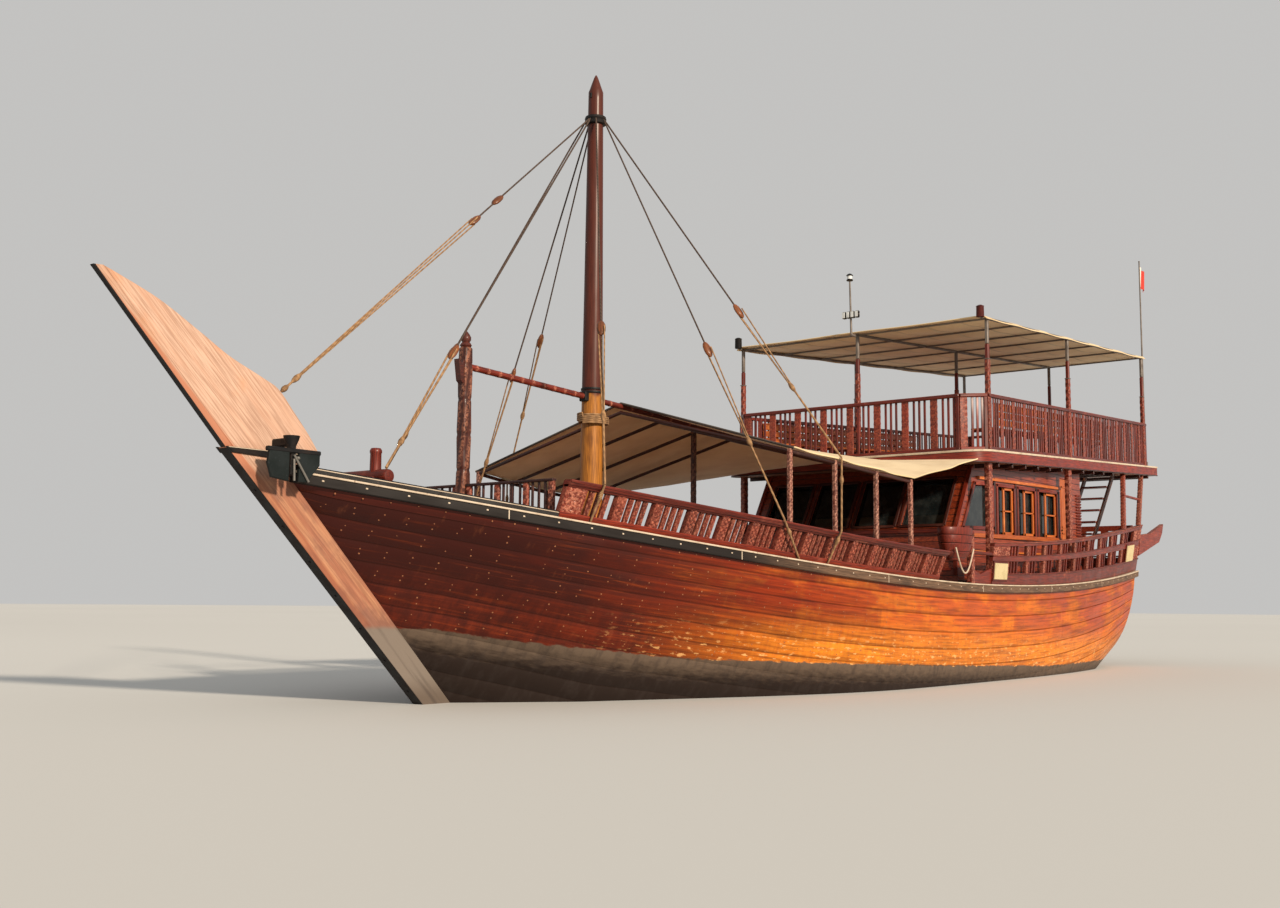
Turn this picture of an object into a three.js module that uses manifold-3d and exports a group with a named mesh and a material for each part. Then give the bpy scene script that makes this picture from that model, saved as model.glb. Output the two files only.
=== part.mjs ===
// A motor dhow: a planked wooden hull with a straight raking stem and a tall stem head, an open
// saloon under a ridge awning, a planked deckhouse, an upper deck under a flat cloth canopy,
// and one pole mast with its stays.
// Millimetres. +X is forward, +Y is to port, +Z is up. The origin is amidships on the waterline.
import * as THREE from "three";
import { mergeVertices } from "three/addons/utils/BufferGeometryUtils.js";
import Module from "manifold-3d";

const wasm = await Module();
wasm.setup();

// Driving dimensions
const GAP = 0.3; // left between pieces that touch
const MOVING_GAP = 8; // left around a piece that moves

const HALF_BEAM = 2850; // at the sheer, amidships
const STEM_HALF = 80; // half the thickness of stem and keel
const PLANK_END_X = 10130; // the planking's forward end at the sheer
const BOW_X = 10150; // where the sheer's plan curve would meet the stem
const BOW_FULLNESS = 2.7; // power of the plan curve: higher is fuller
const STERN_SHEER_X = -9300; // the transom at the sheer
const STERN_NARROWING = 620; // how much the half beam loses in 10 m aft of amidships
const SHEER_LOW_Z = 1490;
const SHEER_LOW_X = -900;
const SHEER_BOW_Z = 2475;
const SHEER_STERN_Z = 1920;
const GUNWALE_WIDTH = 120;
const TOP_STRAKE = 150; // height of the upright top of the hull's side
const DECK_DROP = 150; // the main deck lies this far below the sheer
const FOREDECK_DROP = 15;
const FOREDECK_BREAK_X = 7500;

const STEM_FOOT_X = 8180; // the stem's front at the waterline
const STEM_RAKE = 1.0189; // forward travel for each mm of height
const STEM_DEPTH = 420; // fore and aft, measured level
const STEM_TOP_Z = 2650;
const STEM_TIP_X = 12360;
const STEM_TIP_Z = 4200;
const HEAD_HALF = 60; // half the stem head's thickness

const FOREFOOT_X = 6560; // where the straight stem meets the keel
const KEEL_Z = -1380; // the planking's lowest line
const KEEL_DEPTH = 250;
const SKEG_BOTTOM_Z = -1640;
const TRANSOM_FOOT_Z = -350;
const TRANSOM_RAKE = 0.37; // aft travel for each mm of height
const TRANSOM_WATERLINE_X = STERN_SHEER_X + TRANSOM_RAKE * SHEER_STERN_Z;

const DECK_FRONT_X = -1500; // the upper deck's front edge
const DECK_AFT_X = -11600;
const DECK_FRONT_Z = 3660; // its top at the front edge
const DECK_RISE = 0.0585; // the upper deck rises this much for each mm aft
const DECK_THICK = 200;
const DECK_HALF_FRONT = 2480;
const DECK_HALF_AFT = 2090;
const RAIL_HEIGHT = 930;

const CANOPY_XS = [-2000, -6000, -10870]; // the three rows of canopy posts
const CANOPY_FRONT_Z = 5880;
const CANOPY_RISE = 0.079;

const HOUSE_FRONT_X = -1600; // below the windscreen
const HOUSE_AFT_X = -7150;
const HOUSE_HALF = 2000;
const HOUSE_WALL = 70;
const SCREEN_FOOT_Z = 2380; // the windscreen leans aft from here
const SCREEN_RAKE = 0.5955; // aft travel for each mm of height

const MAST_X = 5210;
const MAST_TOP_Z = 8300;
const POST_X = 7560; // the carved bow post

// Colours of the real finishes
const VARNISH = { color: 0x7a2c14, roughness: 0.45, metalness: 0 };
const DARK_TEAK = { color: 0x3a1610, roughness: 0.5, metalness: 0 };
const BARE_WOOD = { color: 0xb07c60, roughness: 0.75, metalness: 0 };
const LIGHT_WOOD = { color: 0xb8722f, roughness: 0.55, metalness: 0 };
const CLOTH = { color: 0xb9a27a, roughness: 0.95, metalness: 0 };
const METAL = { color: 0x6e6a68, roughness: 0.4, metalness: 0.8 };
const TEAL_PAINT = { color: 0x16332f, roughness: 0.5, metalness: 0.2 };
const BRONZE = { color: 0x9a7434, roughness: 0.4, metalness: 0.9 };
const GLASS = { color: 0x2a3438, roughness: 0.1, metalness: 0 };
const ROPE = { color: 0x8a6a3a, roughness: 0.9, metalness: 0 };
const RED_CLOTH = { color: 0xb03a2a, roughness: 0.9, metalness: 0 };

const dhow = new THREE.Group();

// Adds one closed geometry to the boat as a named piece.
function addPiece(name, geometry, finish) {
  const mesh = new THREE.Mesh(geometry, new THREE.MeshStandardMaterial(finish));
  mesh.name = name;
  dhow.add(mesh);
  return mesh;
}

// Gives a closed mesh in which corners are shared and only positions are left.
function merged(geometry) {
  const bare = geometry.clone();
  for (const attribute of Object.keys(bare.attributes)) {
    if (attribute !== "position") bare.deleteAttribute(attribute);
  }
  return mergeVertices(bare, 1e-3);
}

function toSolid(geometry) {
  const bare = merged(geometry);
  const mesh = new wasm.Mesh({
    numProp: 3,
    vertProperties: new Float32Array(bare.attributes.position.array),
    triVerts: new Uint32Array(bare.index.array),
  });
  return new wasm.Manifold(mesh);
}

function toGeometry(solid) {
  const mesh = solid.getMesh();
  const geometry = new THREE.BufferGeometry();
  geometry.setAttribute("position", new THREE.BufferAttribute(new Float32Array(mesh.vertProperties), 3));
  geometry.setIndex(new THREE.BufferAttribute(new Uint32Array(mesh.triVerts), 1));
  geometry.computeVertexNormals();
  return geometry;
}

// Joins geometries into one solid, less those in the second list.
function joined(pieces, cuts = []) {
  let solid = toSolid(pieces[0]);
  for (const piece of pieces.slice(1)) solid = solid.add(toSolid(piece));
  for (const cut of cuts) solid = solid.subtract(toSolid(cut));
  return toGeometry(solid);
}

// Six times the volume inside a triangle mesh: negative when its faces point inwards.
function signedVolume(positions, triangles) {
  const [a, b, c] = [new THREE.Vector3(), new THREE.Vector3(), new THREE.Vector3()];
  let sum = 0;
  for (let i = 0; i < triangles.length; i += 3) {
    a.fromArray(positions, 3 * triangles[i]);
    b.fromArray(positions, 3 * triangles[i + 1]);
    c.fromArray(positions, 3 * triangles[i + 2]);
    sum += a.dot(b.cross(c));
  }
  return sum;
}

// A closed skin through rings of points, each ring a list of [x, y, z] in the same order.
// The end caps are cut into triangles as seen along the given axis.
function loft(rings, capAxis = "x") {
  const count = rings[0].length;
  const positions = rings.flat(2);
  const triangles = [];
  for (let r = 0; r + 1 < rings.length; r += 1) {
    for (let i = 0; i < count; i += 1) {
      const j = (i + 1) % count;
      const [a, b, c, d] = [r * count + i, r * count + j, (r + 1) * count + j, (r + 1) * count + i];
      triangles.push(a, b, c, a, c, d);
    }
  }
  const [u, v] = { x: [1, 2], y: [2, 0], z: [0, 1] }[capAxis];
  for (const [ring, first, flip] of [[rings[0], 0, true], [rings.at(-1), (rings.length - 1) * count, false]]) {
    const outline = ring.map((p) => new THREE.Vector2(p[u], p[v]));
    const turnsLeft = THREE.ShapeUtils.area(outline) > 0;
    for (const [a, b, c] of THREE.ShapeUtils.triangulateShape(outline, [])) {
      const face = turnsLeft ? [a, b, c] : [a, c, b];
      if (flip === turnsLeft) face.reverse();
      // The skin between the rings runs the same way round as the ring itself.
      const wanted = turnsLeft ? face : face.slice().reverse();
      triangles.push(...wanted.map((k) => first + k));
    }
  }
  if (signedVolume(positions, triangles) < 0) triangles.reverse();
  const geometry = new THREE.BufferGeometry();
  geometry.setAttribute("position", new THREE.Float32BufferAttribute(positions, 3));
  geometry.setIndex(triangles);
  geometry.computeVertexNormals();
  return geometry;
}

// A block between two corners.
function block(low, high) {
  const size = high.map((value, i) => value - low[i]);
  const box = new THREE.BoxGeometry(...size);
  return box.translate(...low.map((value, i) => value + size[i] / 2));
}

// A board: an outline of [x, z] points given a thickness from y0 to y1.
function board(outline, y0, y1, holes = []) {
  const shape = new THREE.Shape(outline.map(([x, z]) => new THREE.Vector2(x, z)));
  const geometry = new THREE.ExtrudeGeometry(shape, { depth: y1 - y0, bevelEnabled: false });
  geometry.rotateX(Math.PI / 2).translate(0, y1, 0);
  return holes.length ? joined([geometry], holes.map((hole) => board(hole, y0 - 9, y1 + 9))) : geometry;
}

// The same for a board that stands across the boat: an outline of [y, z] points, from x0 to x1.
const ACROSS = new THREE.Matrix4().set(0, 0, 1, 0, 1, 0, 0, 0, 0, 1, 0, 0, 0, 0, 0, 1);
function crossBoard(outline, x0, x1, holes = []) {
  const shape = new THREE.Shape(outline.map(([y, z]) => new THREE.Vector2(y, z)));
  const geometry = new THREE.ExtrudeGeometry(shape, { depth: x1 - x0, bevelEnabled: false });
  geometry.applyMatrix4(ACROSS).translate(x0, 0, 0);
  return holes.length ? joined([geometry], holes.map((hole) => crossBoard(hole, x0 - 9, x1 + 9))) : geometry;
}

// The corners of a rectangle between two values each way.
function rectangle(x0, x1, z0, z1) {
  return [[x0, z0], [x1, z0], [x1, z1], [x0, z1]];
}

// A round bar between two points, with its ends flat.
function bar(start, end, radius, endRadius = radius, sides = 8) {
  const from = new THREE.Vector3(...start);
  const to = new THREE.Vector3(...end);
  const length = from.distanceTo(to);
  const geometry = new THREE.CylinderGeometry(endRadius, radius, length, sides);
  const turn = new THREE.Quaternion().setFromUnitVectors(new THREE.Vector3(0, 1, 0), to.clone().sub(from).normalize());
  return geometry.applyQuaternion(turn).translate(...from.add(to).multiplyScalar(0.5).toArray());
}

function clamp01(value) {
  return Math.min(1, Math.max(0, value));
}

function smooth(value) {
  const t = clamp01(value);
  return t * t * (3 - 2 * t);
}

// The value at x of a line through [x, value] pairs that are ordered by falling x.
function along(pairs, x) {
  for (let i = 0; i + 1 < pairs.length; i += 1) {
    const [[x0, v0], [x1, v1]] = [pairs[i], pairs[i + 1]];
    if (x >= x1 || i + 2 === pairs.length) return v0 + ((v1 - v0) * (x - x0)) / (x1 - x0);
  }
  return pairs[0][1];
}

// Hull lines. Curves are given first, then sampled at the stations, so that all that stands
// on the gunwale follows the same straight runs between stations.
const STATION_XS = [
  PLANK_END_X, 9950, 9650, 9200, 8600, 7900, FOREDECK_BREAK_X, FOREDECK_BREAK_X - 20,
  FOREFOOT_X, 5500, 4200, 2800, 1300, -300, -1900, -3500, -5200, -7000, STERN_SHEER_X,
];

function sheerCurve(x) {
  const fore = (x - SHEER_LOW_X) / (PLANK_END_X - SHEER_LOW_X);
  const aft = (x - SHEER_LOW_X) / (STERN_SHEER_X - SHEER_LOW_X);
  return x > SHEER_LOW_X
    ? SHEER_LOW_Z + (SHEER_BOW_Z - SHEER_LOW_Z) * fore ** 2
    : SHEER_LOW_Z + (SHEER_STERN_Z - SHEER_LOW_Z) * aft ** 2;
}

function planCurve(x) {
  if (x < 0) return HALF_BEAM - STERN_NARROWING * (x / 10000) ** 2;
  return STEM_HALF + (HALF_BEAM - STEM_HALF) * (1 - (x / BOW_X) ** BOW_FULLNESS);
}

const SHEER = STATION_XS.map((x) => [x, sheerCurve(x)]);
const PLAN = STATION_XS.map((x) => [x, planCurve(x)]);
const sheerZ = (x) => along(SHEER, x);
const halfBeam = (x) => along(PLAN, x);
const transomX = (z) => TRANSOM_WATERLINE_X - TRANSOM_RAKE * z;
const deckDrop = (x) => (x >= FOREDECK_BREAK_X ? FOREDECK_DROP : DECK_DROP);
const DECK = STATION_XS.map((x) => [
  x === STERN_SHEER_X ? transomX(SHEER_STERN_Z - DECK_DROP) : x, sheerCurve(x) - deckDrop(x),
]);
const deckZ = (x) => along(DECK, x);

// The planking's lowest line: up the stem, along the keel, and up to the transom's foot.
const RABBET_RAKE = 1.02;
const rabbetOnStem = (x) => (x - (STEM_FOOT_X - STEM_DEPTH)) * (1 / RABBET_RAKE) * RABBET_RAKE ** 2;
const RABBET = [
  [FOREFOOT_X, rabbetOnStem(FOREFOOT_X)],
  [-300, KEEL_Z + 40],
  [-3500, KEEL_Z],
  [-5200, -1250],
  [-7000, -900],
  [TRANSOM_WATERLINE_X - TRANSOM_RAKE * TRANSOM_FOOT_Z, TRANSOM_FOOT_Z],
];
const rabbetZ = (x) => (x > FOREFOOT_X ? rabbetOnStem(x) : along(RABBET, x));

// Section shapes, from the keel up to the top strake: [share of the half beam, share of the height]
const SECTIONS = {
  bow: [[0.1, 0.1], [0.2, 0.22], [0.32, 0.36], [0.46, 0.5], [0.62, 0.65], [0.79, 0.8], [0.92, 0.92]],
  mid: [[0.3, 0.045], [0.55, 0.12], [0.74, 0.22], [0.87, 0.35], [0.945, 0.52], [0.985, 0.72], [1, 0.88]],
  stern: [[0.25, 0.04], [0.5, 0.1], [0.7, 0.19], [0.84, 0.31], [0.93, 0.47], [0.98, 0.66], [1, 0.85]],
};

function sectionShares(x) {
  const toBow = smooth((x - 1500) / 7500);
  const toStern = smooth((-x - 1500) / 6500);
  return SECTIONS.mid.map((mid, i) => mid.map((value, k) => (
    value + toBow * (SECTIONS.bow[i][k] - value) + toStern * (SECTIONS.stern[i][k] - value)
  )));
}

// The hull's outline at a station, from the keel up the port side, over the deck and down again.
function hullRing(x) {
  const isTransom = x === STERN_SHEER_X;
  const foot = isTransom ? TRANSOM_FOOT_Z : rabbetZ(x);
  const sheer = sheerZ(x);
  const half = halfBeam(x);
  const strake = Math.min(TOP_STRAKE, 0.5 * (sheer - foot));
  const wall = Math.min(GUNWALE_WIDTH, 0.4 * half);
  const port = [[STEM_HALF, foot]];
  for (const [across, up] of sectionShares(x)) {
    port.push([STEM_HALF + (half - STEM_HALF) * across, foot + (sheer - strake - foot) * up]);
  }
  const sideY = (z) => (isTransom ? halfBeam(transomX(z)) : half);
  const deck = sheer - deckDrop(x);
  port.push(
    [sideY(sheer - strake), sheer - strake], [half, sheer], [half - wall, sheer], [sideY(deck) - wall, deck],
  );
  const whole = [...port, ...port.slice().reverse().map(([y, z]) => [-y, z])];
  return whole.map(([y, z]) => [isTransom ? transomX(z) : x, y, z]);
}

addPiece("hull", loft(STATION_XS.map(hullRing)), VARNISH);

// Stem, stem head, keel and sternpost
const stemFront = (z) => STEM_FOOT_X + STEM_RAKE * z;
const KEEL_BOTTOM_FORE_Z = rabbetZ(FOREFOOT_X) - KEEL_DEPTH;

function stemOutline() {
  const back = STATION_XS.filter((x) => x > FOREFOOT_X).map((x) => [x + GAP, rabbetZ(x) - GAP]);
  return [
    [FOREFOOT_X + GAP, KEEL_BOTTOM_FORE_Z],
    [stemFront(KEEL_BOTTOM_FORE_Z), KEEL_BOTTOM_FORE_Z],
    [stemFront(STEM_TOP_Z), STEM_TOP_Z],
    [PLANK_END_X + 120, STEM_TOP_Z - 25],
    [PLANK_END_X + GAP, SHEER_BOW_Z - FOREDECK_DROP],
    ...back,
    [FOREFOOT_X + GAP, rabbetZ(FOREFOOT_X) - GAP],
  ];
}
addPiece("stem", board(stemOutline(), -STEM_HALF, STEM_HALF), BARE_WOOD);

function stemHeadOutline() {
  const seatX = [9710, 9950];
  return [
    [stemFront(STEM_TOP_Z) + GAP, STEM_TOP_Z + 2 * GAP],
    [STEM_TIP_X, STEM_TIP_Z],
    [12180, 4170], [11690, 3990], [11210, 3740], [10880, 3560], [10470, 3395],
    [10270, 3300], [10080, 3100], [9880, 2880], [9740, 2700],
    ...seatX.map((x) => [x, deckZ(x) + 2 * GAP]),
    [PLANK_END_X - 60, sheerZ(PLANK_END_X - 60) + 2 * GAP],
    [PLANK_END_X, SHEER_BOW_Z + 2 * GAP],
    [PLANK_END_X + 120, STEM_TOP_Z - 25 + 2 * GAP],
  ];
}
addPiece("stem_head", board(stemHeadOutline(), -HEAD_HALF, HEAD_HALF), BARE_WOOD);

const APERTURE_FRONT_X = -7400;
const APERTURE_BOTTOM_Z = -1500;
const POST_DEPTH = 170; // the sternpost, fore and aft
const STERNPOST_TOP_Z = 1450;

function keelOutline() {
  const top = RABBET.slice(0, -1).map(([x, z]) => [x - (x === FOREFOOT_X ? GAP : 0), z - GAP]);
  const postFront = (z) => transomX(z) - GAP;
  return [
    [FOREFOOT_X - GAP, KEEL_BOTTOM_FORE_Z],
    ...top,
    [APERTURE_FRONT_X, rabbetZ(APERTURE_FRONT_X) - GAP],
    [APERTURE_FRONT_X, APERTURE_BOTTOM_Z],
    [postFront(APERTURE_BOTTOM_Z), APERTURE_BOTTOM_Z],
    [postFront(STERNPOST_TOP_Z), STERNPOST_TOP_Z],
    [postFront(STERNPOST_TOP_Z) - POST_DEPTH, STERNPOST_TOP_Z],
    [postFront(SKEG_BOTTOM_Z) - POST_DEPTH, SKEG_BOTTOM_Z],
  ];
}

// The rudder turns on a raked line just aft of the sternpost. Its own frame has Z on that line.
const HINGE_OFFSET = 90; // the hinge line, aft of the sternpost
const HINGE_BOTTOM = [transomX(SKEG_BOTTOM_Z) - POST_DEPTH - HINGE_OFFSET, SKEG_BOTTOM_Z];
const HINGE_TILT = -Math.atan(TRANSOM_RAKE);
const HINGE_LENGTH = (STERNPOST_TOP_Z - SKEG_BOTTOM_Z) / Math.cos(HINGE_TILT);
const PIN_RADIUS = 26;
const PIN_SIDES = 20;
const BORE_RADIUS = PIN_RADIUS + 0.5; // its flats stay clear of the turning pin's corners
const BARREL_RADIUS = 62;
const BRACKET_HEIGHTS = [140, 0.5 * HINGE_LENGTH, HINGE_LENGTH - 260];
const BRACKET_HIGH = 70;

const onHinge = (geometry) => geometry.rotateY(HINGE_TILT).translate(HINGE_BOTTOM[0], 0, HINGE_BOTTOM[1]);

function hingeBrackets() {
  const reach = HINGE_OFFSET / Math.cos(HINGE_TILT) + 60;
  return BRACKET_HEIGHTS.map((z) => onHinge(block([-BARREL_RADIUS, -45, z], [reach, 45, z + BRACKET_HIGH])));
}

function keelPiece() {
  const bore = onHinge(bar([0, 0, -100], [0, 0, HINGE_LENGTH + 200], BORE_RADIUS, BORE_RADIUS, PIN_SIDES));
  const shaftBoss = bar([APERTURE_FRONT_X + 100, 0, PROP_Z], [PROP_X + 95, 0, PROP_Z], 95, 85, 12);
  return joined([board(keelOutline(), -STEM_HALF, STEM_HALF), shaftBoss, ...hingeBrackets()], [bore]);
}

const PROP_X = -7660;
const PROP_Z = -1090;
const PROP_RADIUS = 370;
addPiece("keel_and_sternpost", keelPiece(), DARK_TEAK);

function rudderPiece() {
  const blade = board([
    [0, 60], [-1050, 450], [-1180, 700], [-1120, 1300], [-700, 1850], [-420, 2300],
    [-360, HINGE_LENGTH - 40], [0, HINGE_LENGTH - 40],
  ], -45, 45);
  const barrel = bar([0, 0, 60], [0, 0, HINGE_LENGTH - 40], BARREL_RADIUS, BARREL_RADIUS, 12);
  const pin = bar([0, 0, 60], [0, 0, HINGE_LENGTH - 40], PIN_RADIUS, PIN_RADIUS, PIN_SIDES);
  // The lowest bracket carries the rudder's weight, so the barrel lies close on its top.
  const slot = (z, k) => block(
    [-BARREL_RADIUS - 60, -100, z - MOVING_GAP],
    [BARREL_RADIUS + 60, 100, z + BRACKET_HIGH + (k === 0 ? GAP : MOVING_GAP)],
  );
  const solid = toSolid(joined([blade, barrel], BRACKET_HEIGHTS.map(slot))).add(toSolid(pin));
  return onHinge(toGeometry(solid));
}
addPiece("rudder", rudderPiece(), DARK_TEAK);

function propellerPiece() {
  const hub = bar([PROP_X + 95 - GAP, 0, PROP_Z], [PROP_X - 90, 0, PROP_Z], 75, 45, 12);
  const blades = [0, 1, 2].map((k) => {
    const blade = new THREE.CylinderGeometry(1, 1, 26, 12).scale(95, 1, 175);
    blade.rotateZ(Math.PI / 2).rotateX(0).translate(0, 0, PROP_RADIUS - 178);
    blade.rotateZ(THREE.MathUtils.degToRad(40));
    return blade.rotateX((k * 2 * Math.PI) / 3).translate(PROP_X, 0, PROP_Z);
  });
  return joined([hub, ...blades]);
}
addPiece("propeller", propellerPiece(), BRONZE);

// What runs along the gunwale. A strip's section is a leaning rectangle: heights are above the
// sheer, and inner and outer are distances across from the hull's side.
function span(x0, x1) {
  return [x0, ...STATION_XS.filter((x) => x < x0 - 1 && x > x1 + 1), x1];
}

// The ends near the transom lean aft with it.
function leanAft(x, height) {
  return -TRANSOM_RAKE * height * clamp01((-7000 - x) / (-7000 - STERN_SHEER_X));
}

function strip(side, x0, x1, [low, high], [inner, outer], lean) {
  const at = (value, x) => (typeof value === "function" ? value(x) : value);
  return loft(span(x0, x1).map((x) => {
    const corner = (height, across) => {
      const aft = x + leanAft(x, height);
      return [aft, side * (halfBeam(aft) + lean * height + across), sheerZ(x) + height];
    };
    const [h0, h1] = [at(low, x), at(high, x)];
    const corners = [corner(h0, inner), corner(h0, outer), corner(h1, outer), corner(h1, inner)];
    return side > 0 ? corners.reverse() : corners;
  }));
}

const SIDES = [["port", 1], ["starboard", -1]];
const RUB_HIGH = 125;
const RUB_DEEP = 75;

// The fore bulwark: fourteen bays of one post, three slats and a gap between two rails.
const FORE_BAYS = 14;
const FORE_START_X = 7640;
const FORE_END_X = 900;
const FORE_LEAN = 0.42;
const FORE_TOP = 415;
const POST_WIDTH = 110;
const SLAT_WIDTH = 50;
const SLAT_SHARES = [0.41, 0.6, 0.79]; // of the bay, from its aft end

function foreBulwark(side) {
  const pieces = [
    strip(side, FORE_START_X, FORE_END_X, [GAP, 70], [-110, 20], FORE_LEAN),
    strip(side, FORE_START_X, FORE_END_X, [FORE_TOP - 60, FORE_TOP], [-75, 45], FORE_LEAN),
    strip(side, FORE_START_X, FORE_START_X - 230, [60, FORE_TOP - 50], [-60, 10], FORE_LEAN),
  ];
  const bay = (FORE_START_X - 230 - FORE_END_X) / FORE_BAYS;
  for (let k = 1; k <= FORE_BAYS; k += 1) {
    const x = FORE_START_X - 230 - k * bay;
    pieces.push(strip(side, x + POST_WIDTH, x, [60, FORE_TOP - 50], [-60, 10], FORE_LEAN));
    for (const share of SLAT_SHARES) {
      const slatX = x + share * bay;
      pieces.push(strip(side, slatX + SLAT_WIDTH, slatX, [60, FORE_TOP - 50], [-40, -8], FORE_LEAN));
    }
  }
  return joined(pieces);
}

// The aft bulwark: a low board, a middle rail and a top rail. Nine bays of three pickets and a
// gap, with a post between bays and a solid panel at each end.
const AFT_START_X = -960;
const AFT_BAYS = 9;
const AFT_LEAN = 0.1;
const AFT_PANELS = { fore: 650, aft: 600 }; // their lengths
const PICKET_WIDTH = 40;
const PICKET_SHARES = [0.5, 0.66, 0.82]; // of the bay, from its aft end
const aftTop = (x) => 640 + 0.0375 * (AFT_START_X - x);
const share = (part) => (x) => part * aftTop(x);

function aftBulwark(side) {
  const end = STERN_SHEER_X;
  const pieces = [
    strip(side, AFT_START_X, end, [GAP, share(0.26)], [-60, 10], AFT_LEAN),
    strip(side, AFT_START_X, end, [share(0.55), share(0.68)], [-60, 0], AFT_LEAN),
    strip(side, AFT_START_X, end, [share(0.91), share(1)], [-85, 20], AFT_LEAN),
    strip(side, AFT_START_X, AFT_START_X - AFT_PANELS.fore, [share(0.2), share(0.95)], [-55, -5], AFT_LEAN),
    strip(side, end + AFT_PANELS.aft, end, [share(0.2), share(0.95)], [-55, -5], AFT_LEAN),
  ];
  const start = AFT_START_X - AFT_PANELS.fore;
  const bay = (start - end - AFT_PANELS.aft) / AFT_BAYS;
  for (let k = 1; k <= AFT_BAYS; k += 1) {
    const x = start - k * bay;
    if (k < AFT_BAYS) pieces.push(strip(side, x + 50, x - 50, [share(0.2), share(0.95)], [-55, -5], AFT_LEAN));
    for (const part of PICKET_SHARES) {
      const picketX = x + part * bay;
      pieces.push(strip(side, picketX + PICKET_WIDTH, picketX, [share(0.2), share(0.95)], [-45, -15], AFT_LEAN));
    }
  }
  return joined(pieces);
}

for (const [name, side] of SIDES) {
  addPiece(`rub_rail_${name}`, strip(side, PLANK_END_X, STERN_SHEER_X, [-RUB_HIGH, 0], [GAP, RUB_DEEP], 0), BARE_WOOD);
  addPiece(`bulwark_fore_${name}`, foreBulwark(side), VARNISH);
  addPiece(`bulwark_aft_${name}`, aftBulwark(side), VARNISH);
  addPiece(`bow_cap_${name}`, strip(side, PLANK_END_X - 60, FORE_START_X + 1, [GAP, 75], [-60, 25], 0), DARK_TEAK);
}

// The gangway's low panel, its small post, and the round slatted step that hangs beside it,
// on the port side only.
const STEP_X = 340;
const SMALL_POST_X = -210;
function boardingStep() {
  const profile = [[0, -470], [90, -460], [150, -380], [190, -200], [200, 0], [0, 0]];
  const tub = new THREE.LatheGeometry(profile.map(([r, z]) => new THREE.Vector2(r, z)), 12);
  const y = halfBeam(STEP_X) + 20;
  const z = sheerZ(STEP_X) + 790;
  return [
    tub.rotateX(Math.PI / 2).scale(2, 1, 1).translate(STEP_X, y, z),
    block([SMALL_POST_X - 40, y - 20, z - 60], [STEP_X, y + 20, z - 20]),
  ];
}

function gangwayPanel() {
  const low = (x) => 160 + 0.25 * Math.abs(x + 560);
  const end = AFT_START_X + 2 * GAP;
  return joined([
    strip(1, SMALL_POST_X, end, [GAP, low], [-65, -5], AFT_LEAN),
    strip(1, SMALL_POST_X, SMALL_POST_X - 80, [GAP, 790], [-65, 45], 0),
    strip(1, SMALL_POST_X, end, [440, 490], [-65, -5], AFT_LEAN),
    ...boardingStep(),
  ]);
}
addPiece("gangway_panel", gangwayPanel(), LIGHT_WOOD);

// The stern board closes the bulwarks across the transom.
function sternBoard() {
  const half = halfBeam(STERN_SHEER_X) - GUNWALE_WIDTH - 6;
  const low = deckZ(transomX(SHEER_STERN_Z - DECK_DROP) + 20) + GAP;
  const high = SHEER_STERN_Z + 940;
  const count = 9;
  const step = (2 * half - 200) / count;
  const windows = [];
  for (let k = 0; k < count; k += 1) {
    const y = -half + 100 + k * step;
    windows.push(rectangle(y + 70, y + step - 70, low + 420, high - 110));
  }
  const upright = crossBoard(rectangle(-half, half, low, high), 20, 90, windows);
  const lean = new THREE.Matrix4().set(1, 0, -TRANSOM_RAKE, TRANSOM_WATERLINE_X, 0, 1, 0, 0, 0, 0, 1, 0, 0, 0, 0, 1);
  return upright.applyMatrix4(lean);
}
addPiece("stern_board", sternBoard(), VARNISH);

// The quarter wings carry the bulwarks' line on past the transom.
for (const [name, side] of SIDES) {
  const rootX = (z) => STERN_SHEER_X - TRANSOM_RAKE * (z - SHEER_STERN_Z) - 2 * GAP;
  const outline = [
    [rootX(2220), 2220], [rootX(2640), 2640], [-10200, 2700], [-11080, 2940], [-11000, 2760], [-10780, 2560],
  ];
  const middle = halfBeam(STERN_SHEER_X) + AFT_LEAN * 500 - 45;
  const [y0, y1] = side > 0 ? [middle - 35, middle + 35] : [-middle - 35, -middle + 35];
  addPiece(`quarter_wing_${name}`, board(outline, y0, y1), VARNISH);
}

// Bitts, anchor, bow post and mast
const BITT_X = 9190;
function bittLog() {
  const z = deckZ(BITT_X) + 60;
  const log = bar([BITT_X, -560, z + 110], [BITT_X, 560, z + 110], 78, 78, 12);
  const cheeks = [-400, 330].map((y) => block([BITT_X - 90, y, deckZ(BITT_X + 90) + GAP], [BITT_X + 90, y + 70, z + 110]));
  const bitt = bar([BITT_X, 330, z + 100], [BITT_X, 330, z + 420], 62, 56, 10);
  return joined([log, ...cheeks, bitt]);
}
addPiece("bitt_log", bittLog(), BARE_WOOD);

const ANCHOR_X = 10290;
const ANCHOR_Y = 335;
function anchorPiece() {
  const plate = (x) => block([x, ANCHOR_Y, 2330], [x + 260, ANCHOR_Y + 45, 2640]);
  const bracket = block([ANCHOR_X - 60, HEAD_HALF + GAP, 2680], [ANCHOR_X + 60, ANCHOR_Y + 45, 2800]);
  const shank = block([ANCHOR_X - 40, ANCHOR_Y - 40, 2420], [ANCHOR_X + 40, ANCHOR_Y + 40, 2790]);
  const head = bar([ANCHOR_X - 330, ANCHOR_Y + 20, 2640], [ANCHOR_X + 330, ANCHOR_Y + 20, 2640], 34, 34, 8);
  return joined([plate(ANCHOR_X - 320), plate(ANCHOR_X + 60), bracket, shank, head]);
}
addPiece("anchor", anchorPiece(), TEAL_PAINT);

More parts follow.
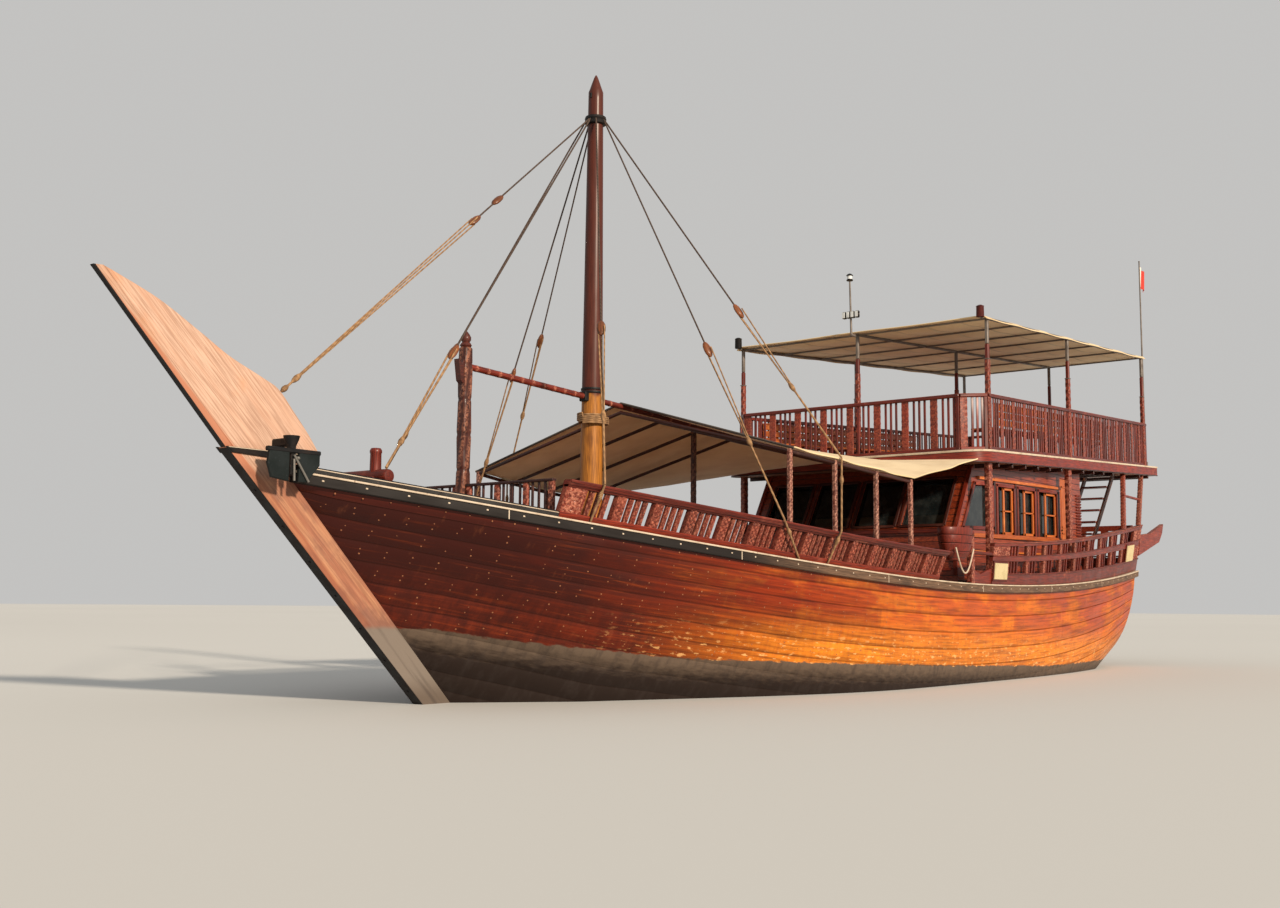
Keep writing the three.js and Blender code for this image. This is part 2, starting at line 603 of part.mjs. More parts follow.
function bowPost() {
  const low = deckZ(POST_X + 95) + GAP;
  const outline = [
    [-95, low], [95, low], [80, low + 160], [72, low + 300], [72, 3700], [110, 3760], [150, 4010], [95, 3960],
    [70, 4040], [70, 4180], [42, 4300], [0, 4370], [-42, 4300], [-70, 4180], [-70, 3700], [-80, low + 300],
  ];
  return board(outline.map(([x, z]) => [x + POST_X, z]), -75, 75);
}
addPiece("bow_post", bowPost(), DARK_TEAK);

const mastRadius = (z) => 158 - (58 * (z - 1700)) / (8050 - 1700);
const HOOP = { low: 3905, high: 3975, deep: 15 }; // the iron hoop round the mast above the spar
const MAST_SIDES = 16;
function turnedOnMast(profile) {
  const lathe = new THREE.LatheGeometry(profile.map(([r, z]) => new THREE.Vector2(r, z)), MAST_SIDES);
  return lathe.rotateX(Math.PI / 2).translate(MAST_X, 0, 0);
}

function mastPiece() {
  const foot = deckZ(MAST_X + 160) + GAP;
  const profile = [
    [0, foot], [mastRadius(foot), foot],
    [mastRadius(HOOP.low), HOOP.low], [mastRadius(HOOP.low) + HOOP.deep, HOOP.low],
    [mastRadius(HOOP.high) + HOOP.deep, HOOP.high], [mastRadius(HOOP.high), HOOP.high],
    [mastRadius(8050), 8050], [55, 8180], [0, MAST_TOP_Z],
  ];
  return turnedOnMast(profile);
}
addPiece("mast", mastPiece(), DARK_TEAK);

// Turned collar round the mast's foot
function mastPartner() {
  const low = deckZ(MAST_X + 260) + GAP;
  const high = low + 150;
  const inner = (z) => mastRadius(z) + GAP;
  return turnedOnMast([[inner(low), low], [255, low], [225, high], [inner(high), high], [inner(low), low]]);
}
addPiece("mast_partner", mastPartner(), DARK_TEAK);

// Spar from the bow post to the mast, then the awning's ridge from the mast to the upper deck
const sparZ = (x) => 3855 + ((3945 - 3855) * (x - MAST_X)) / (POST_X - MAST_X);
const SPAR_RADIUS = 42;
addPiece("bow_spar", bar(
  [POST_X - 72, 0, sparZ(POST_X - 72)], [MAST_X + mastRadius(3855) + 2, 0, sparZ(MAST_X)], SPAR_RADIUS,
), DARK_TEAK);

const RIDGE_Z_AFT = 3560;
const ridgeZ = (x) => RIDGE_Z_AFT + ((3840 - RIDGE_Z_AFT) * (x - DECK_FRONT_X)) / (MAST_X - DECK_FRONT_X);
addPiece("awning_ridge", bar(
  [MAST_X - 140.6, 0, ridgeZ(MAST_X - 140.6)], [DECK_FRONT_X + 2, 0, ridgeZ(DECK_FRONT_X + 2)], SPAR_RADIUS,
), DARK_TEAK);

// Awning: its eaves at the posts, then up to the upper deck's front corners
const awningPostY = (x) => halfBeam(x) + FORE_LEAN * FORE_TOP - 15;
const EAVES = [
  [4600, awningPostY(4600) + 60, 3070],
  [3740, awningPostY(3740) + 60, 2995],
  [2835, awningPostY(2835) + 60, 2930],
  [1960, awningPostY(1960) + 60, 2880],
  [0, 2640, 3200],
  [DECK_FRONT_X + 2 * GAP, 2420, 3490],
]; // x, half width, height
const CLOTH_THICK = 12;

function awningCloth() {
  return loft(EAVES.map(([x, half, z]) => {
    const top = ridgeZ(x) + SPAR_RADIUS + CLOTH_THICK + 2 * GAP;
    return [
      [x, half, z], [x, half, z + CLOTH_THICK], [x, 0, top],
      [x, -half, z + CLOTH_THICK], [x, -half, z], [x, 0, top - CLOTH_THICK],
    ];
  }));
}
addPiece("awning_cloth", awningCloth(), CLOTH);

// The awning's frame: eave poles on slim posts that stand on the fore bulwarks' top rails.
function awningFrame() {
  const pieces = [];
  const postEaves = EAVES.slice(0, 4);
  for (const [, side] of SIDES) {
    const points = EAVES.slice(0, 4).map(([x, half, z]) => [x, side * (half - 60), z - 35]);
    for (let i = 0; i + 1 < points.length; i += 1) pieces.push(bar(points[i], points[i + 1], 26, 26, 6));
    for (const [x, y, z] of points) {
      pieces.push(block([x - 32, y - 32, sheerZ(x + 32) + FORE_TOP + GAP], [x + 32, y + 32, z + 15]));
    }
  }
  for (const [x, half, z] of postEaves) {
    const under = ridgeZ(x) - SPAR_RADIUS - 40;
    for (const [, side] of SIDES) pieces.push(bar([x, side * (half - 60), z - 35], [x, -side * 12, under], 26, 26, 6));
  }
  return joined(pieces);
}
addPiece("awning_frame", awningFrame(), DARK_TEAK);

const CENTRE_POST_X = 2905;
addPiece("awning_centre_post", block(
  [CENTRE_POST_X - 38, -38, deckZ(CENTRE_POST_X + 38) + GAP],
  [CENTRE_POST_X + 38, 38, ridgeZ(CENTRE_POST_X) - SPAR_RADIUS - 4],
), DARK_TEAK);

// Upper deck. Its pieces are drawn level and then sheared to the deck's rise.
const DECK_SHEAR = new THREE.Matrix4().set(
  1, 0, 0, 0,
  0, 1, 0, 0,
  -DECK_RISE, 0, 1, DECK_FRONT_Z + DECK_RISE * DECK_FRONT_X,
  0, 0, 0, 1,
);
const onDeck = (geometry) => geometry.applyMatrix4(DECK_SHEAR);
const deckTop = (x) => DECK_FRONT_Z + DECK_RISE * (DECK_FRONT_X - x);
const deckHalf = (x) => (
  DECK_HALF_FRONT + ((DECK_HALF_AFT - DECK_HALF_FRONT) * (x - DECK_FRONT_X)) / (DECK_AFT_X - DECK_FRONT_X)
);

const CORNER = 420;
const HATCH = { x0: -10050, x1: -8700, y0: 1130, y1: 1900 };

function upperDeck() {
  const shape = new THREE.Shape();
  shape.moveTo(DECK_AFT_X, -DECK_HALF_AFT);
  shape.lineTo(DECK_FRONT_X - CORNER, -DECK_HALF_FRONT);
  shape.quadraticCurveTo(DECK_FRONT_X, -DECK_HALF_FRONT, DECK_FRONT_X, -DECK_HALF_FRONT + CORNER);
  shape.lineTo(DECK_FRONT_X, DECK_HALF_FRONT - CORNER);
  shape.quadraticCurveTo(DECK_FRONT_X, DECK_HALF_FRONT, DECK_FRONT_X - CORNER, DECK_HALF_FRONT);
  shape.lineTo(DECK_AFT_X, DECK_HALF_AFT);
  const slab = new THREE.ExtrudeGeometry(shape, { depth: DECK_THICK, bevelEnabled: false, curveSegments: 5 });
  const hatch = block([HATCH.x0, HATCH.y0, -9], [HATCH.x1, HATCH.y1, DECK_THICK + 9]);
  return onDeck(joined([slab], [hatch]).translate(0, 0, -DECK_THICK));
}
addPiece("upper_deck", upperDeck(), VARNISH);

// A run of upper rail from one plan point to another: two rails on the deck, with one wide board
// and three sticks in turn between them.
const RAIL_BAY = 540;
const WIDE_BOARD = 130;
const RAIL_STICK = 42;
const RAIL_STICKS = 3; // in a bay
function railRun(from, to, base) {
  const start = new THREE.Vector2(...from);
  const run = new THREE.Vector2(...to).sub(start);
  const length = run.length();
  const pieces = [
    block([0, -40, RAIL_HEIGHT - 55], [length, 40, RAIL_HEIGHT]),
    block([0, -25, base], [length, 25, base + 60]),
  ];
  const count = Math.max(1, Math.round(length / RAIL_BAY));
  const step = length / count;
  for (let k = 0; k < count; k += 1) {
    const u = k * step;
    pieces.push(block([u, -14, base + 40], [u + WIDE_BOARD, 14, RAIL_HEIGHT - 40]));
    for (let i = 1; i <= RAIL_STICKS; i += 1) {
      const stick = u + WIDE_BOARD + ((step - WIDE_BOARD) * i) / (RAIL_STICKS + 1) - RAIL_STICK / 2;
      pieces.push(block([stick, -11, base + 40], [stick + RAIL_STICK, 11, RAIL_HEIGHT - 40]));
    }
  }
  pieces.push(block([length - 60, -30, base], [length, 30, RAIL_HEIGHT - 40]));
  const solid = joined(pieces);
  return solid.rotateZ(run.angle()).translate(start.x, start.y, 0);
}

const RAIL_INSET = 60;
const railHalf = (x) => deckHalf(x) - RAIL_INSET;
const RAIL_FRONT_X = DECK_FRONT_X - 90;
const RAIL_AFT_X = CANOPY_XS[2] - 150;
const RAIL_CORNER = 330; // how far back the front rail's corners reach
const WOOD_POST_TOP = 1500;
const canopyZ = (x) => CANOPY_FRONT_Z + CANOPY_RISE * (CANOPY_XS[0] - x);
const POST_HALF = 42;
const PIPE_RADIUS = 24;

for (const [name, side] of SIDES) {
  const from = [RAIL_FRONT_X - RAIL_CORNER - 40, side * railHalf(RAIL_FRONT_X)];
  const to = [RAIL_AFT_X, side * railHalf(RAIL_AFT_X)];
  const posts = CANOPY_XS.map((x) => block(
    [x - POST_HALF, side * railHalf(x) - POST_HALF, GAP], [x + POST_HALF, side * railHalf(x) + POST_HALF, WOOD_POST_TOP],
  ));
  addPiece(`upper_rail_${name}`, onDeck(joined([railRun(from, to, GAP), ...posts])), VARNISH);
}

// The front rail turns the rounded corners to meet the side rails.
function frontRail() {
  const half = railHalf(RAIL_FRONT_X);
  const inset = RAIL_CORNER;
  const runs = [
    railRun([RAIL_FRONT_X, -half + inset], [RAIL_FRONT_X, half - inset], GAP),
    railRun([RAIL_FRONT_X - inset + 3, -half + 3], [RAIL_FRONT_X, -half + inset], GAP),
    railRun([RAIL_FRONT_X, half - inset], [RAIL_FRONT_X - inset + 3, half - 3], GAP),
  ];
  return joined(runs);
}

const AFT_RAIL_X = CANOPY_XS[2] - POST_HALF - 45;
const AFT_HALF = railHalf(AFT_RAIL_X) - 45;
addPiece("upper_rail_aft", onDeck(railRun([AFT_RAIL_X, -AFT_HALF], [AFT_RAIL_X, AFT_HALF], GAP)), VARNISH);
addPiece("upper_rail_front", onDeck(frontRail()), VARNISH);

// Benches along the upper deck's sides: seat, front and back as one L
for (const [name, side] of SIDES) {
  const [x0, x1] = [-2500, -8300];
  const ring = (x) => {
    const back = railHalf(x) - 70;
    return [[back, GAP], [back, 820], [back - 60, 820], [back - 90, 430], [back - 480, 400], [back - 430, GAP]]
      .map(([y, z]) => [x, side * y, z]);
  };
  addPiece(`bench_${name}`, onDeck(loft([ring(x0), ring(x1)])), LIGHT_WOOD);
}

// Canopy: centre posts, a pipe frame on all nine posts, and the cloth on top. The cross pipes
// are thinner than the long ones and lie a little lower, so each runs clean into the next.
const CROSS_PIPE_XS = [...CANOPY_XS, -3300, -4650, -7600, -9200];
function canopyFrame() {
  const pieces = [];
  const [front, , aft] = CANOPY_XS;
  for (const part of [-1, 0, 1]) {
    pieces.push(bar(
      [front + 30, part * railHalf(front), canopyZ(front + 30)], [aft - 30, part * railHalf(aft), canopyZ(aft - 30)],
      PIPE_RADIUS, PIPE_RADIUS, 8,
    ));
  }
  for (const x of CROSS_PIPE_XS) {
    const reach = railHalf(x) + 7;
    pieces.push(bar([x + 1, -reach, canopyZ(x) - 5], [x + 1, reach, canopyZ(x) - 5], 17, 17, 6));
  }
  for (const x of CANOPY_XS) {
    for (const [, side] of SIDES) {
      const y = side * (railHalf(x) + 1);
      const foot = deckTop(x - POST_HALF) + WOOD_POST_TOP + GAP;
      pieces.push(block([x - 31, y - 31, foot], [x + 30, y + 30, canopyZ(x) - 8]));
    }
    pieces.push(block(
      [x - POST_HALF, -POST_HALF, deckTop(x - POST_HALF) + GAP], [x + POST_HALF - 1, POST_HALF - 2, canopyZ(x) - 8],
    ));
  }
  return joined(pieces);
}
addPiece("canopy_frame", canopyFrame(), METAL);

function canopyCloth() {
  return loft([CANOPY_XS[0] + 120, CANOPY_XS[1], CANOPY_XS[2] - 120].map((x) => {
    const half = railHalf(x) + 60;
    const z = canopyZ(x) + PIPE_RADIUS + 2 * GAP;
    return [[x, half, z], [x, half, z + CLOTH_THICK], [x, -half, z + CLOTH_THICK], [x, -half, z]];
  }));
}
addPiece("canopy_cloth", canopyCloth(), CLOTH);

// Deckhouse: four walls with their windows cut, glass inside them, and a door each side
const deckUnder = (x) => deckTop(x) - DECK_THICK;
const DOOR = { x0: -6600, x1: -6110, sill: 180, high: 1850 };
const SCREEN_TOP_Z = 3499;
const screenX = (z) => HOUSE_FRONT_X - SCREEN_RAKE * Math.max(0, z - SCREEN_FOOT_Z);
const FIRST_WINDOW = [[-1790, 2430], [-3000, 2480], [-3000, 3230], [-2270, 3190]];
const WINDOWS = [[-3200, -3920], [-4080, -4860], [-5010, -5920]];
const FREE_EDGE_GAP = 14; // between the door's free edge and the frame
const HINGE_X = DOOR.x0;
const HINGE_Y = HOUSE_HALF + 20;
const HINGE_SIZE = { radius: 14, pin: 5, bore: 6, high: 60 };
const HINGE_LEVELS = [260, 1450]; // above the sill

function wallOutline(x0, x1) {
  const feet = span(x0, x1).map((x) => [x, deckZ(x) + GAP]);
  const screenTop = screenX(SCREEN_TOP_Z);
  return [
    ...feet, [x1, deckUnder(x1) - GAP], [screenTop, deckUnder(screenTop) - GAP], [x0, SCREEN_FOOT_Z],
  ];
}

function windowHole([x0, x1]) {
  const [low, high] = [2380, 3220].map((z) => (x) => z + 0.02 * (-3500 - x));
  return [[x0, low(x0)], [x1, low(x1)], [x1, high(x1)], [x0, high(x0)]];
}

// A block given by its distances from the boat's middle line on one side.
function sideBlock(side, [x0, x1], [near, far], [z0, z1]) {
  return side > 0 ? block([x0, near, z0], [x1, far, z1]) : block([x0, -far, z0], [x1, -near, z1]);
}

function barrelAt(side, z0, z1, radius, sides = 12) {
  return bar([HINGE_X, side * HINGE_Y, z0], [HINGE_X, side * HINGE_Y, z1], radius, radius, sides);
}

// Each hinge has the door's barrel below and the wall's barrel above, with the wall's pin in both.
function wallHinges(side, sill) {
  const { radius, pin, high } = HINGE_SIZE;
  return HINGE_LEVELS.flatMap((level) => {
    const z = sill + level + high + GAP;
    return [
      sideBlock(side, [HINGE_X - 70, HINGE_X + 4], [HOUSE_HALF - 1, HINGE_Y + 4], [z, z + high]),
      barrelAt(side, z, z + high, radius),
      barrelAt(side, z - high - 10, z + 5, pin, PIN_SIDES),
    ];
  });
}

function doorHinges(side, sill) {
  const { radius, bore, high } = HINGE_SIZE;
  const solids = [];
  const bores = [];
  for (const level of HINGE_LEVELS) {
    const z = sill + level;
    solids.push(sideBlock(side, [HINGE_X + 9, HINGE_X + 100], [HOUSE_HALF - 14, HINGE_Y - 4], [z, z + high]));
    solids.push(sideBlock(side, [HINGE_X - 2, HINGE_X + 12], [HINGE_Y - 13, HINGE_Y - 4], [z, z + high]));
    solids.push(barrelAt(side, z, z + high, radius));
    bores.push(barrelAt(side, z - 5, z + high + 5, bore, PIN_SIDES));
  }
  return { solids, bores };
}

for (const [name, side] of SIDES) {
  const [y0, y1] = side > 0 ? [HOUSE_HALF - HOUSE_WALL, HOUSE_HALF] : [-HOUSE_HALF, -HOUSE_HALF + HOUSE_WALL];
  const sill = deckZ(DOOR.x0) + DOOR.sill;
  const doorway = rectangle(DOOR.x0, DOOR.x1, sill, sill + DOOR.high);
  const holes = [FIRST_WINDOW, ...WINDOWS.map(windowHole), doorway];
  const wall = board(wallOutline(HOUSE_FRONT_X, HOUSE_AFT_X), y0, y1, holes);
  addPiece(`deckhouse_${name}`, joined([wall, ...wallHinges(side, sill)]), VARNISH);
  const inner = side > 0 ? [y0 - 8 - GAP, y0 - GAP] : [y1 + GAP, y1 + 8 + GAP];
  const last = WINDOWS.at(-1)[1] - 40;
  const pane = [[screenX(2390) - 75, 2390], [last, 2370], [last, 3300], [screenX(3260) - 75, 3260]];
  addPiece(`deckhouse_glass_${name}`, board(pane, ...inner), GLASS);
  const outline = rectangle(
    DOOR.x0 + MOVING_GAP, DOOR.x1 - FREE_EDGE_GAP, sill + MOVING_GAP, sill + DOOR.high - MOVING_GAP,
  );
  const straps = doorHinges(side, sill);
  const leaf = board(outline, y0 + 12, y1 - 12);
  addPiece(`deckhouse_door_${name}`, joined([leaf, ...straps.solids], straps.bores), LIGHT_WOOD);
}

// A wall across the boat, given as its half width, with openings in [y, z].
function crossWall(x0, x1, openings) {
  const half = HOUSE_HALF - HOUSE_WALL - 2 * GAP;
  const outline = [
    [-half, deckZ(x0) + 4], [half, deckZ(x0) + 4], [half, deckUnder(x1) - 4], [-half, deckUnder(x1) - 4],
  ];
  return crossBoard(outline, x0, x1, openings);
}

// The front wall is upright below the windscreen. The screen and its glass lean aft.
const SCREEN_SHEAR = new THREE.Matrix4().set(
  1, 0, -SCREEN_RAKE, HOUSE_FRONT_X + SCREEN_RAKE * SCREEN_FOOT_Z,
  0, 1, 0, 0,
  0, 0, 1, 0,
  0, 0, 0, 1,
);
function frontWall() {
  const half = HOUSE_HALF - HOUSE_WALL - 2 * GAP;
  const low = deckZ(HOUSE_FRONT_X) + GAP;
  const lower = crossBoard(rectangle(-half, half, low, SCREEN_FOOT_Z), HOUSE_FRONT_X - HOUSE_WALL, HOUSE_FRONT_X);
  const panes = [-1800, -900, 0, 900].map((y) => rectangle(y + 45, y + 855, SCREEN_FOOT_Z + 90, 3290));
  const screen = crossBoard(rectangle(-half, half, SCREEN_FOOT_Z, SCREEN_TOP_Z), -HOUSE_WALL, 0, panes);
  return joined([lower, screen.applyMatrix4(SCREEN_SHEAR)]);
}
addPiece("deckhouse_front", frontWall(), VARNISH);
const glassInset = HOUSE_WALL + 2 * GAP;
addPiece("deckhouse_glass_front", crossBoard(
  rectangle(-1790, 1790, SCREEN_FOOT_Z + 60, 3320), -glassInset - 8, -glassInset,
).applyMatrix4(SCREEN_SHEAR), GLASS);

const aftPanes = [-1700, 900].map((y) => rectangle(y, y + 800, deckZ(HOUSE_AFT_X) + 1050, 3450));
addPiece("deckhouse_aft", crossWall(HOUSE_AFT_X, HOUSE_AFT_X + HOUSE_WALL, aftPanes), VARNISH);

const aftGlass = rectangle(-1780, 1780, deckZ(HOUSE_AFT_X) + 1020, 3480);
addPiece("deckhouse_glass_aft", crossBoard(
  aftGlass, HOUSE_AFT_X + HOUSE_WALL + GAP, HOUSE_AFT_X + HOUSE_WALL + 8 + GAP,
), GLASS);

// Posts from the main deck to the upper deck, outside the deckhouse walls
const DECK_POSTS = [-2000, -5930];
for (const [name, side] of SIDES) {
  DECK_POSTS.forEach((x, k) => {
    const y = side * (deckHalf(x) - 80);
    addPiece(`deck_post_${name}_${k + 1}`, block(
      [x - 65, y - 50, deckZ(x - 65) + GAP], [x + 65, y + 50, deckUnder(x + 65) - GAP],
    ), VARNISH);
  });
}

// Raking struts under the overhanging end of the upper deck. They stand on the aft bulwarks'
// top rails: [foot station on the rail, top end's x]
const STRUTS = [[-7955, -9400], [-9020, -10710]];
const STRUT_HALF = 45;
function rakedStrut(side, [footStation, topX]) {
  const height = aftTop(footStation);
  const footX = footStation + leanAft(footStation, height);
  const footY = side * (halfBeam(footStation) + AFT_LEAN * height - 45);
  const footZ = sheerZ(footStation - 60) + aftTop(footStation - 60) + GAP;
  const topY = side * (deckHalf(topX) - 90);
  const ring = (x, y, z) => [[-1, -1], [1, -1], [1, 1], [-1, 1]].map(([u, v]) => (
    [x + u * STRUT_HALF, y + v * STRUT_HALF, z(x + u * STRUT_HALF)]
  ));
  return loft([ring(footX, footY, () => footZ), ring(topX, topY, (x) => deckUnder(x) - GAP)], "z");
}
for (const [name, side] of SIDES) {
  const middles = STRUTS.map(([footX, topX]) => [
    0.5 * (footX + topX) - 130, side * 0.5 * (halfBeam(footX) + deckHalf(topX) - 70), 3420,
  ]);
  const brace = bar(middles[0], middles[1], 28, 28, 6);
  addPiece(`stern_struts_${name}`, joined([...STRUTS.map((strut) => rakedStrut(side, strut)), brace]), VARNISH);
}

// Ladder from the main deck aft of the house up through the hatch
function ladder() {
  const [x0, z0] = [-7550, deckZ(-7620) + GAP];
  const [x1, z1] = [-9850, deckTop(-9850) + 20];
  const rings = (y) => [[x0, z0], [x1, z1]].map(([x, z]) => [
    [x - 70, y, z], [x + 70, y, z], [x + 70, y + 40, z], [x - 70, y + 40, z],
  ]);
  const pieces = [loft(rings(1210), "z"), loft(rings(1780), "z")];
  const treads = 9;
  for (let k = 1; k <= treads; k += 1) {
    const part = k / (treads + 1);
    const [x, z] = [x0 + part * (x1 - x0), z0 + part * (z1 - z0)];
    pieces.push(block([x - 110, 1230, z - 15], [x + 110, 1800, z + 15]));
  }
  return joined(pieces);
}
addPiece("ladder", ladder(), DARK_TEAK);

// Transverse rail at the break of the foredeck, in two runs with the bow post between them
for (const [name, side] of SIDES) {
  const y0 = 75 + 2 * GAP;
  const y1 = halfBeam(POST_X) - GUNWALE_WIDTH - 30;
  const geometry = railRun([0, 0], [y1 - y0, 0], GAP).scale(1, 1, 0.5);
  geometry.rotateZ(side > 0 ? Math.PI / 2 : -Math.PI / 2);
  geometry.translate(POST_X, side * y0, deckZ(POST_X + 60));
  addPiece(`foredeck_rail_${name}`, geometry, DARK_TEAK);
}

// Flagpole, flag and light mast
const FLAG_X = CANOPY_XS[2] - 200;
const FLAG_Y = railHalf(FLAG_X) - 20;
function flagpole() {
  const foot = deckTop(FLAG_X) + 40;
  return joined([
    bar([FLAG_X, FLAG_Y, foot], [FLAG_X, FLAG_Y, 8770], 22, 14, 8),
    block([FLAG_X - 40, FLAG_Y - 40, deckTop(FLAG_X - 40) + GAP], [FLAG_X + 40, FLAG_Y + 40, foot + 60]),
  ]);
}
addPiece("flagpole", flagpole(), METAL);
addPiece("flag", block([FLAG_X - 330, FLAG_Y - 5, 8150], [FLAG_X - 15.6, FLAG_Y + 5, 8650]), RED_CLOTH);

const LIGHT_X = CANOPY_XS[0] + 220;
function lightMast() {
  return joined([
    bar([LIGHT_X, 0, canopyZ(LIGHT_X)], [LIGHT_X + 40, 0, 6830], 20, 14, 8),
    bar([LIGHT_X + 40, 0, 6800], [LIGHT_X + 40, 0, 6930], 62, 62, 10),
    block([LIGHT_X - 60, -170, 6130], [LIGHT_X + 60, 170, 6280]),
    block([CANOPY_XS[0] + POST_HALF - 1 + GAP, -19, canopyZ(LIGHT_X) - 30], [LIGHT_X + 15, 19, canopyZ(LIGHT_X) + 8]),
  ]);
}
addPiece("light_mast", lightMast(), METAL);

// Main stays, all made fast to one band at the masthead
const BAND_Z = 7650;
const BAND_RADIUS = 150;
function stays() {
  const [low, high] = [BAND_Z - 60, BAND_Z + 60];
  const inner = (z) => mastRadius(z) + GAP;
  const band = turnedOnMast([
    [inner(low), low], [BAND_RADIUS, low], [BAND_RADIUS, high], [inner(high), high], [inner(low), low],
  ]);
  const railEdge = (x) => halfBeam(x) + FORE_LEAN * FORE_TOP + 76;
  const rubEdge = (x) => halfBeam(x) + 48;
  const overRail = (railX, footX, side) => [
    [railX, side * railEdge(railX), sheerZ(railX) + FORE_TOP], [footX, side * rubEdge(footX), sheerZ(footX) + 15],
  ];
  const [eaveX, eaveHalf, eaveZ] = EAVES[1];
  // each stay's points from the mast down, and how far down its block lies
  const ropes = [
    { points: [[10160, 0, 3330]], blocks: [0.36, 0.44] },
    { points: [[BITT_X + 20, 520, deckZ(BITT_X) + 260]], blocks: [0.72] },
    ...[1, -1].flatMap((side) => [
      { points: overRail(7300, 7300, side), blocks: [0.62] },
      { points: overRail(4800, 4300, side), blocks: [0.6] },
      { points: [[eaveX, side * (eaveHalf + 40), eaveZ + 20], ...overRail(eaveX, eaveX, side)], blocks: [0.58] },
    ]),
  ];
  const pieces = [band];
  for (const { points, blocks } of ropes) {
    const [dx, dy] = [points[0][0] - MAST_X, points[0][1]];
    const reach = BAND_RADIUS - 22;
    let from = [MAST_X + (reach * dx) / Math.hypot(dx, dy), (reach * dy) / Math.hypot(dx, dy), BAND_Z];
    const down = (part) => from.map((value, i) => value + part * (points[0][i] - value));
    for (const part of blocks) pieces.push(bar(down(part - 0.018), down(part + 0.018), 58, 58, 6));
    for (const to of points) {
      pieces.push(bar(from, to, 16, 16, 6));
      from = to;
    }
  }
  return joined(pieces);
}
addPiece("stays", stays(), ROPE);

export default dhow;
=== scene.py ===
import math
from functools import partial

import bpy
import numpy as np
from mathutils import Matrix, Vector


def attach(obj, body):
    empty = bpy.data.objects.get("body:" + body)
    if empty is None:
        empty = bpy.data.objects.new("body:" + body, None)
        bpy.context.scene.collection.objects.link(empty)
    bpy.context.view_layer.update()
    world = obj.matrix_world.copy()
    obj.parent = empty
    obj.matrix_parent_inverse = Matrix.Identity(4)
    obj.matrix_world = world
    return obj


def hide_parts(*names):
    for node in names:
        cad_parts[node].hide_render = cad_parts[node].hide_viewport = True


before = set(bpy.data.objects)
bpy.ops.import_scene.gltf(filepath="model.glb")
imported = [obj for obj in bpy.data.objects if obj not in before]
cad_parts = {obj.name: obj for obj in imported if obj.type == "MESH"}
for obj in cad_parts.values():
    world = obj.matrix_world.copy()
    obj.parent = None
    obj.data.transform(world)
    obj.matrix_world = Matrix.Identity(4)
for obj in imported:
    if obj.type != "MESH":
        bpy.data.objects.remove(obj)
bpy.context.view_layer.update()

# A planked motor dhow, dressed piece by piece. Metres: +X forward, +Y port, +Z up, water at z = 0.
RANDOM = np.random.default_rng(41)
SIDES = (("port", 1), ("starboard", -1))

# Hull dimensions
HALF_BEAM = 2.85
STEM_HALF = 0.08
PLANK_END_X = 10.13
BOW_X = 10.15
BOW_FULLNESS = 2.7
STERN_X = -9.3
SHEER_LOW_X = -0.9
SHEER_LOW_Z = 1.49
SHEER_FORE_RISE = 0.985
SHEER_AFT_RISE = 0.43
GUNWALE = 0.12
TOP_STRAKE = 0.15
DECK_DROP = 0.15
FOREDECK_DROP = 0.015
FOREDECK_BREAK_X = 7.5
STEM_FOOT_X = 8.18
STEM_RAKE = 1.0189
FOREFOOT_X = 6.56
TRANSOM_RAKE = 0.37
TRANSOM_WATER_X = -8.5896
STRAKES = 19
FRAME_SPACING = 0.24
PLUG_SPACING = 0.37
RAKE_X = -7

# Upper deck dimensions
DECK_FRONT_X = -1.5
DECK_AFT_X = -11.6
DECK_FRONT_Z = 3.66
DECK_RISE = 0.0585
DECK_THICK = 0.2
DECK_HALF = 2.48
CANOPY_XS = (-2.0, -6.0, -10.87)
CANOPY_FRONT_Z = 5.88
CANOPY_RISE = 0.079
MAST_X = 5.21
BOW_POST_X = 7.56


# Hull lines, each over whole arrays of stations

def sheer(x):
    """Height of the planking's top edge: a parabola each side of its lowest point."""
    fore = x > SHEER_LOW_X
    end = np.where(fore, PLANK_END_X, STERN_X)
    rise = np.where(fore, SHEER_FORE_RISE, SHEER_AFT_RISE)
    return SHEER_LOW_Z + rise * ((x - SHEER_LOW_X) / (end - SHEER_LOW_X)) ** 2


def half_beam(x):
    """Half width at the sheer: a full power curve to the stem, a slow parabola to the stern."""
    fore = STEM_HALF + (HALF_BEAM - STEM_HALF) * (1 - (np.maximum(x, 0) / BOW_X) ** BOW_FULLNESS)
    return np.where(x < 0, HALF_BEAM - 0.62 * (np.minimum(x, 0) / 10) ** 2, fore)


def rabbet(x):
    """Height of the planking's lowest line: straight runs along the keel, then up the stem."""
    keel_x = [-8.46, -7.0, -5.2, -3.5, -0.3, FOREFOOT_X]
    keel_z = [-0.35, -0.9, -1.25, -1.38, -1.34, -1.224]
    return np.where(x > FOREFOOT_X, 1.02 * (x - 7.76), np.interp(x, keel_x, keel_z))


def transom_x(z):
    """Station of the transom's face at a height: it rakes aft in a straight line as it rises."""
    return TRANSOM_WATER_X - TRANSOM_RAKE * z


def deck_z(x):
    """Height of the deck: a set drop below the sheer, less of it on the foredeck."""
    return sheer(x) - np.where(x >= FOREDECK_BREAK_X, FOREDECK_DROP, DECK_DROP)


def aft_part(x):
    """Share of the way from where the stations begin to rake to the stern, held between 0 and 1."""
    return np.clip((RAKE_X - x) / (RAKE_X - STERN_X), 0, 1)


def smooth(value):
    """Smooth step: three times the square less twice the cube."""
    t = np.clip(value, 0, 1)
    return t * t * (3 - 2 * t)


def at(line, x):
    """A hull line's value at one station."""
    return float(line(np.array(x)))


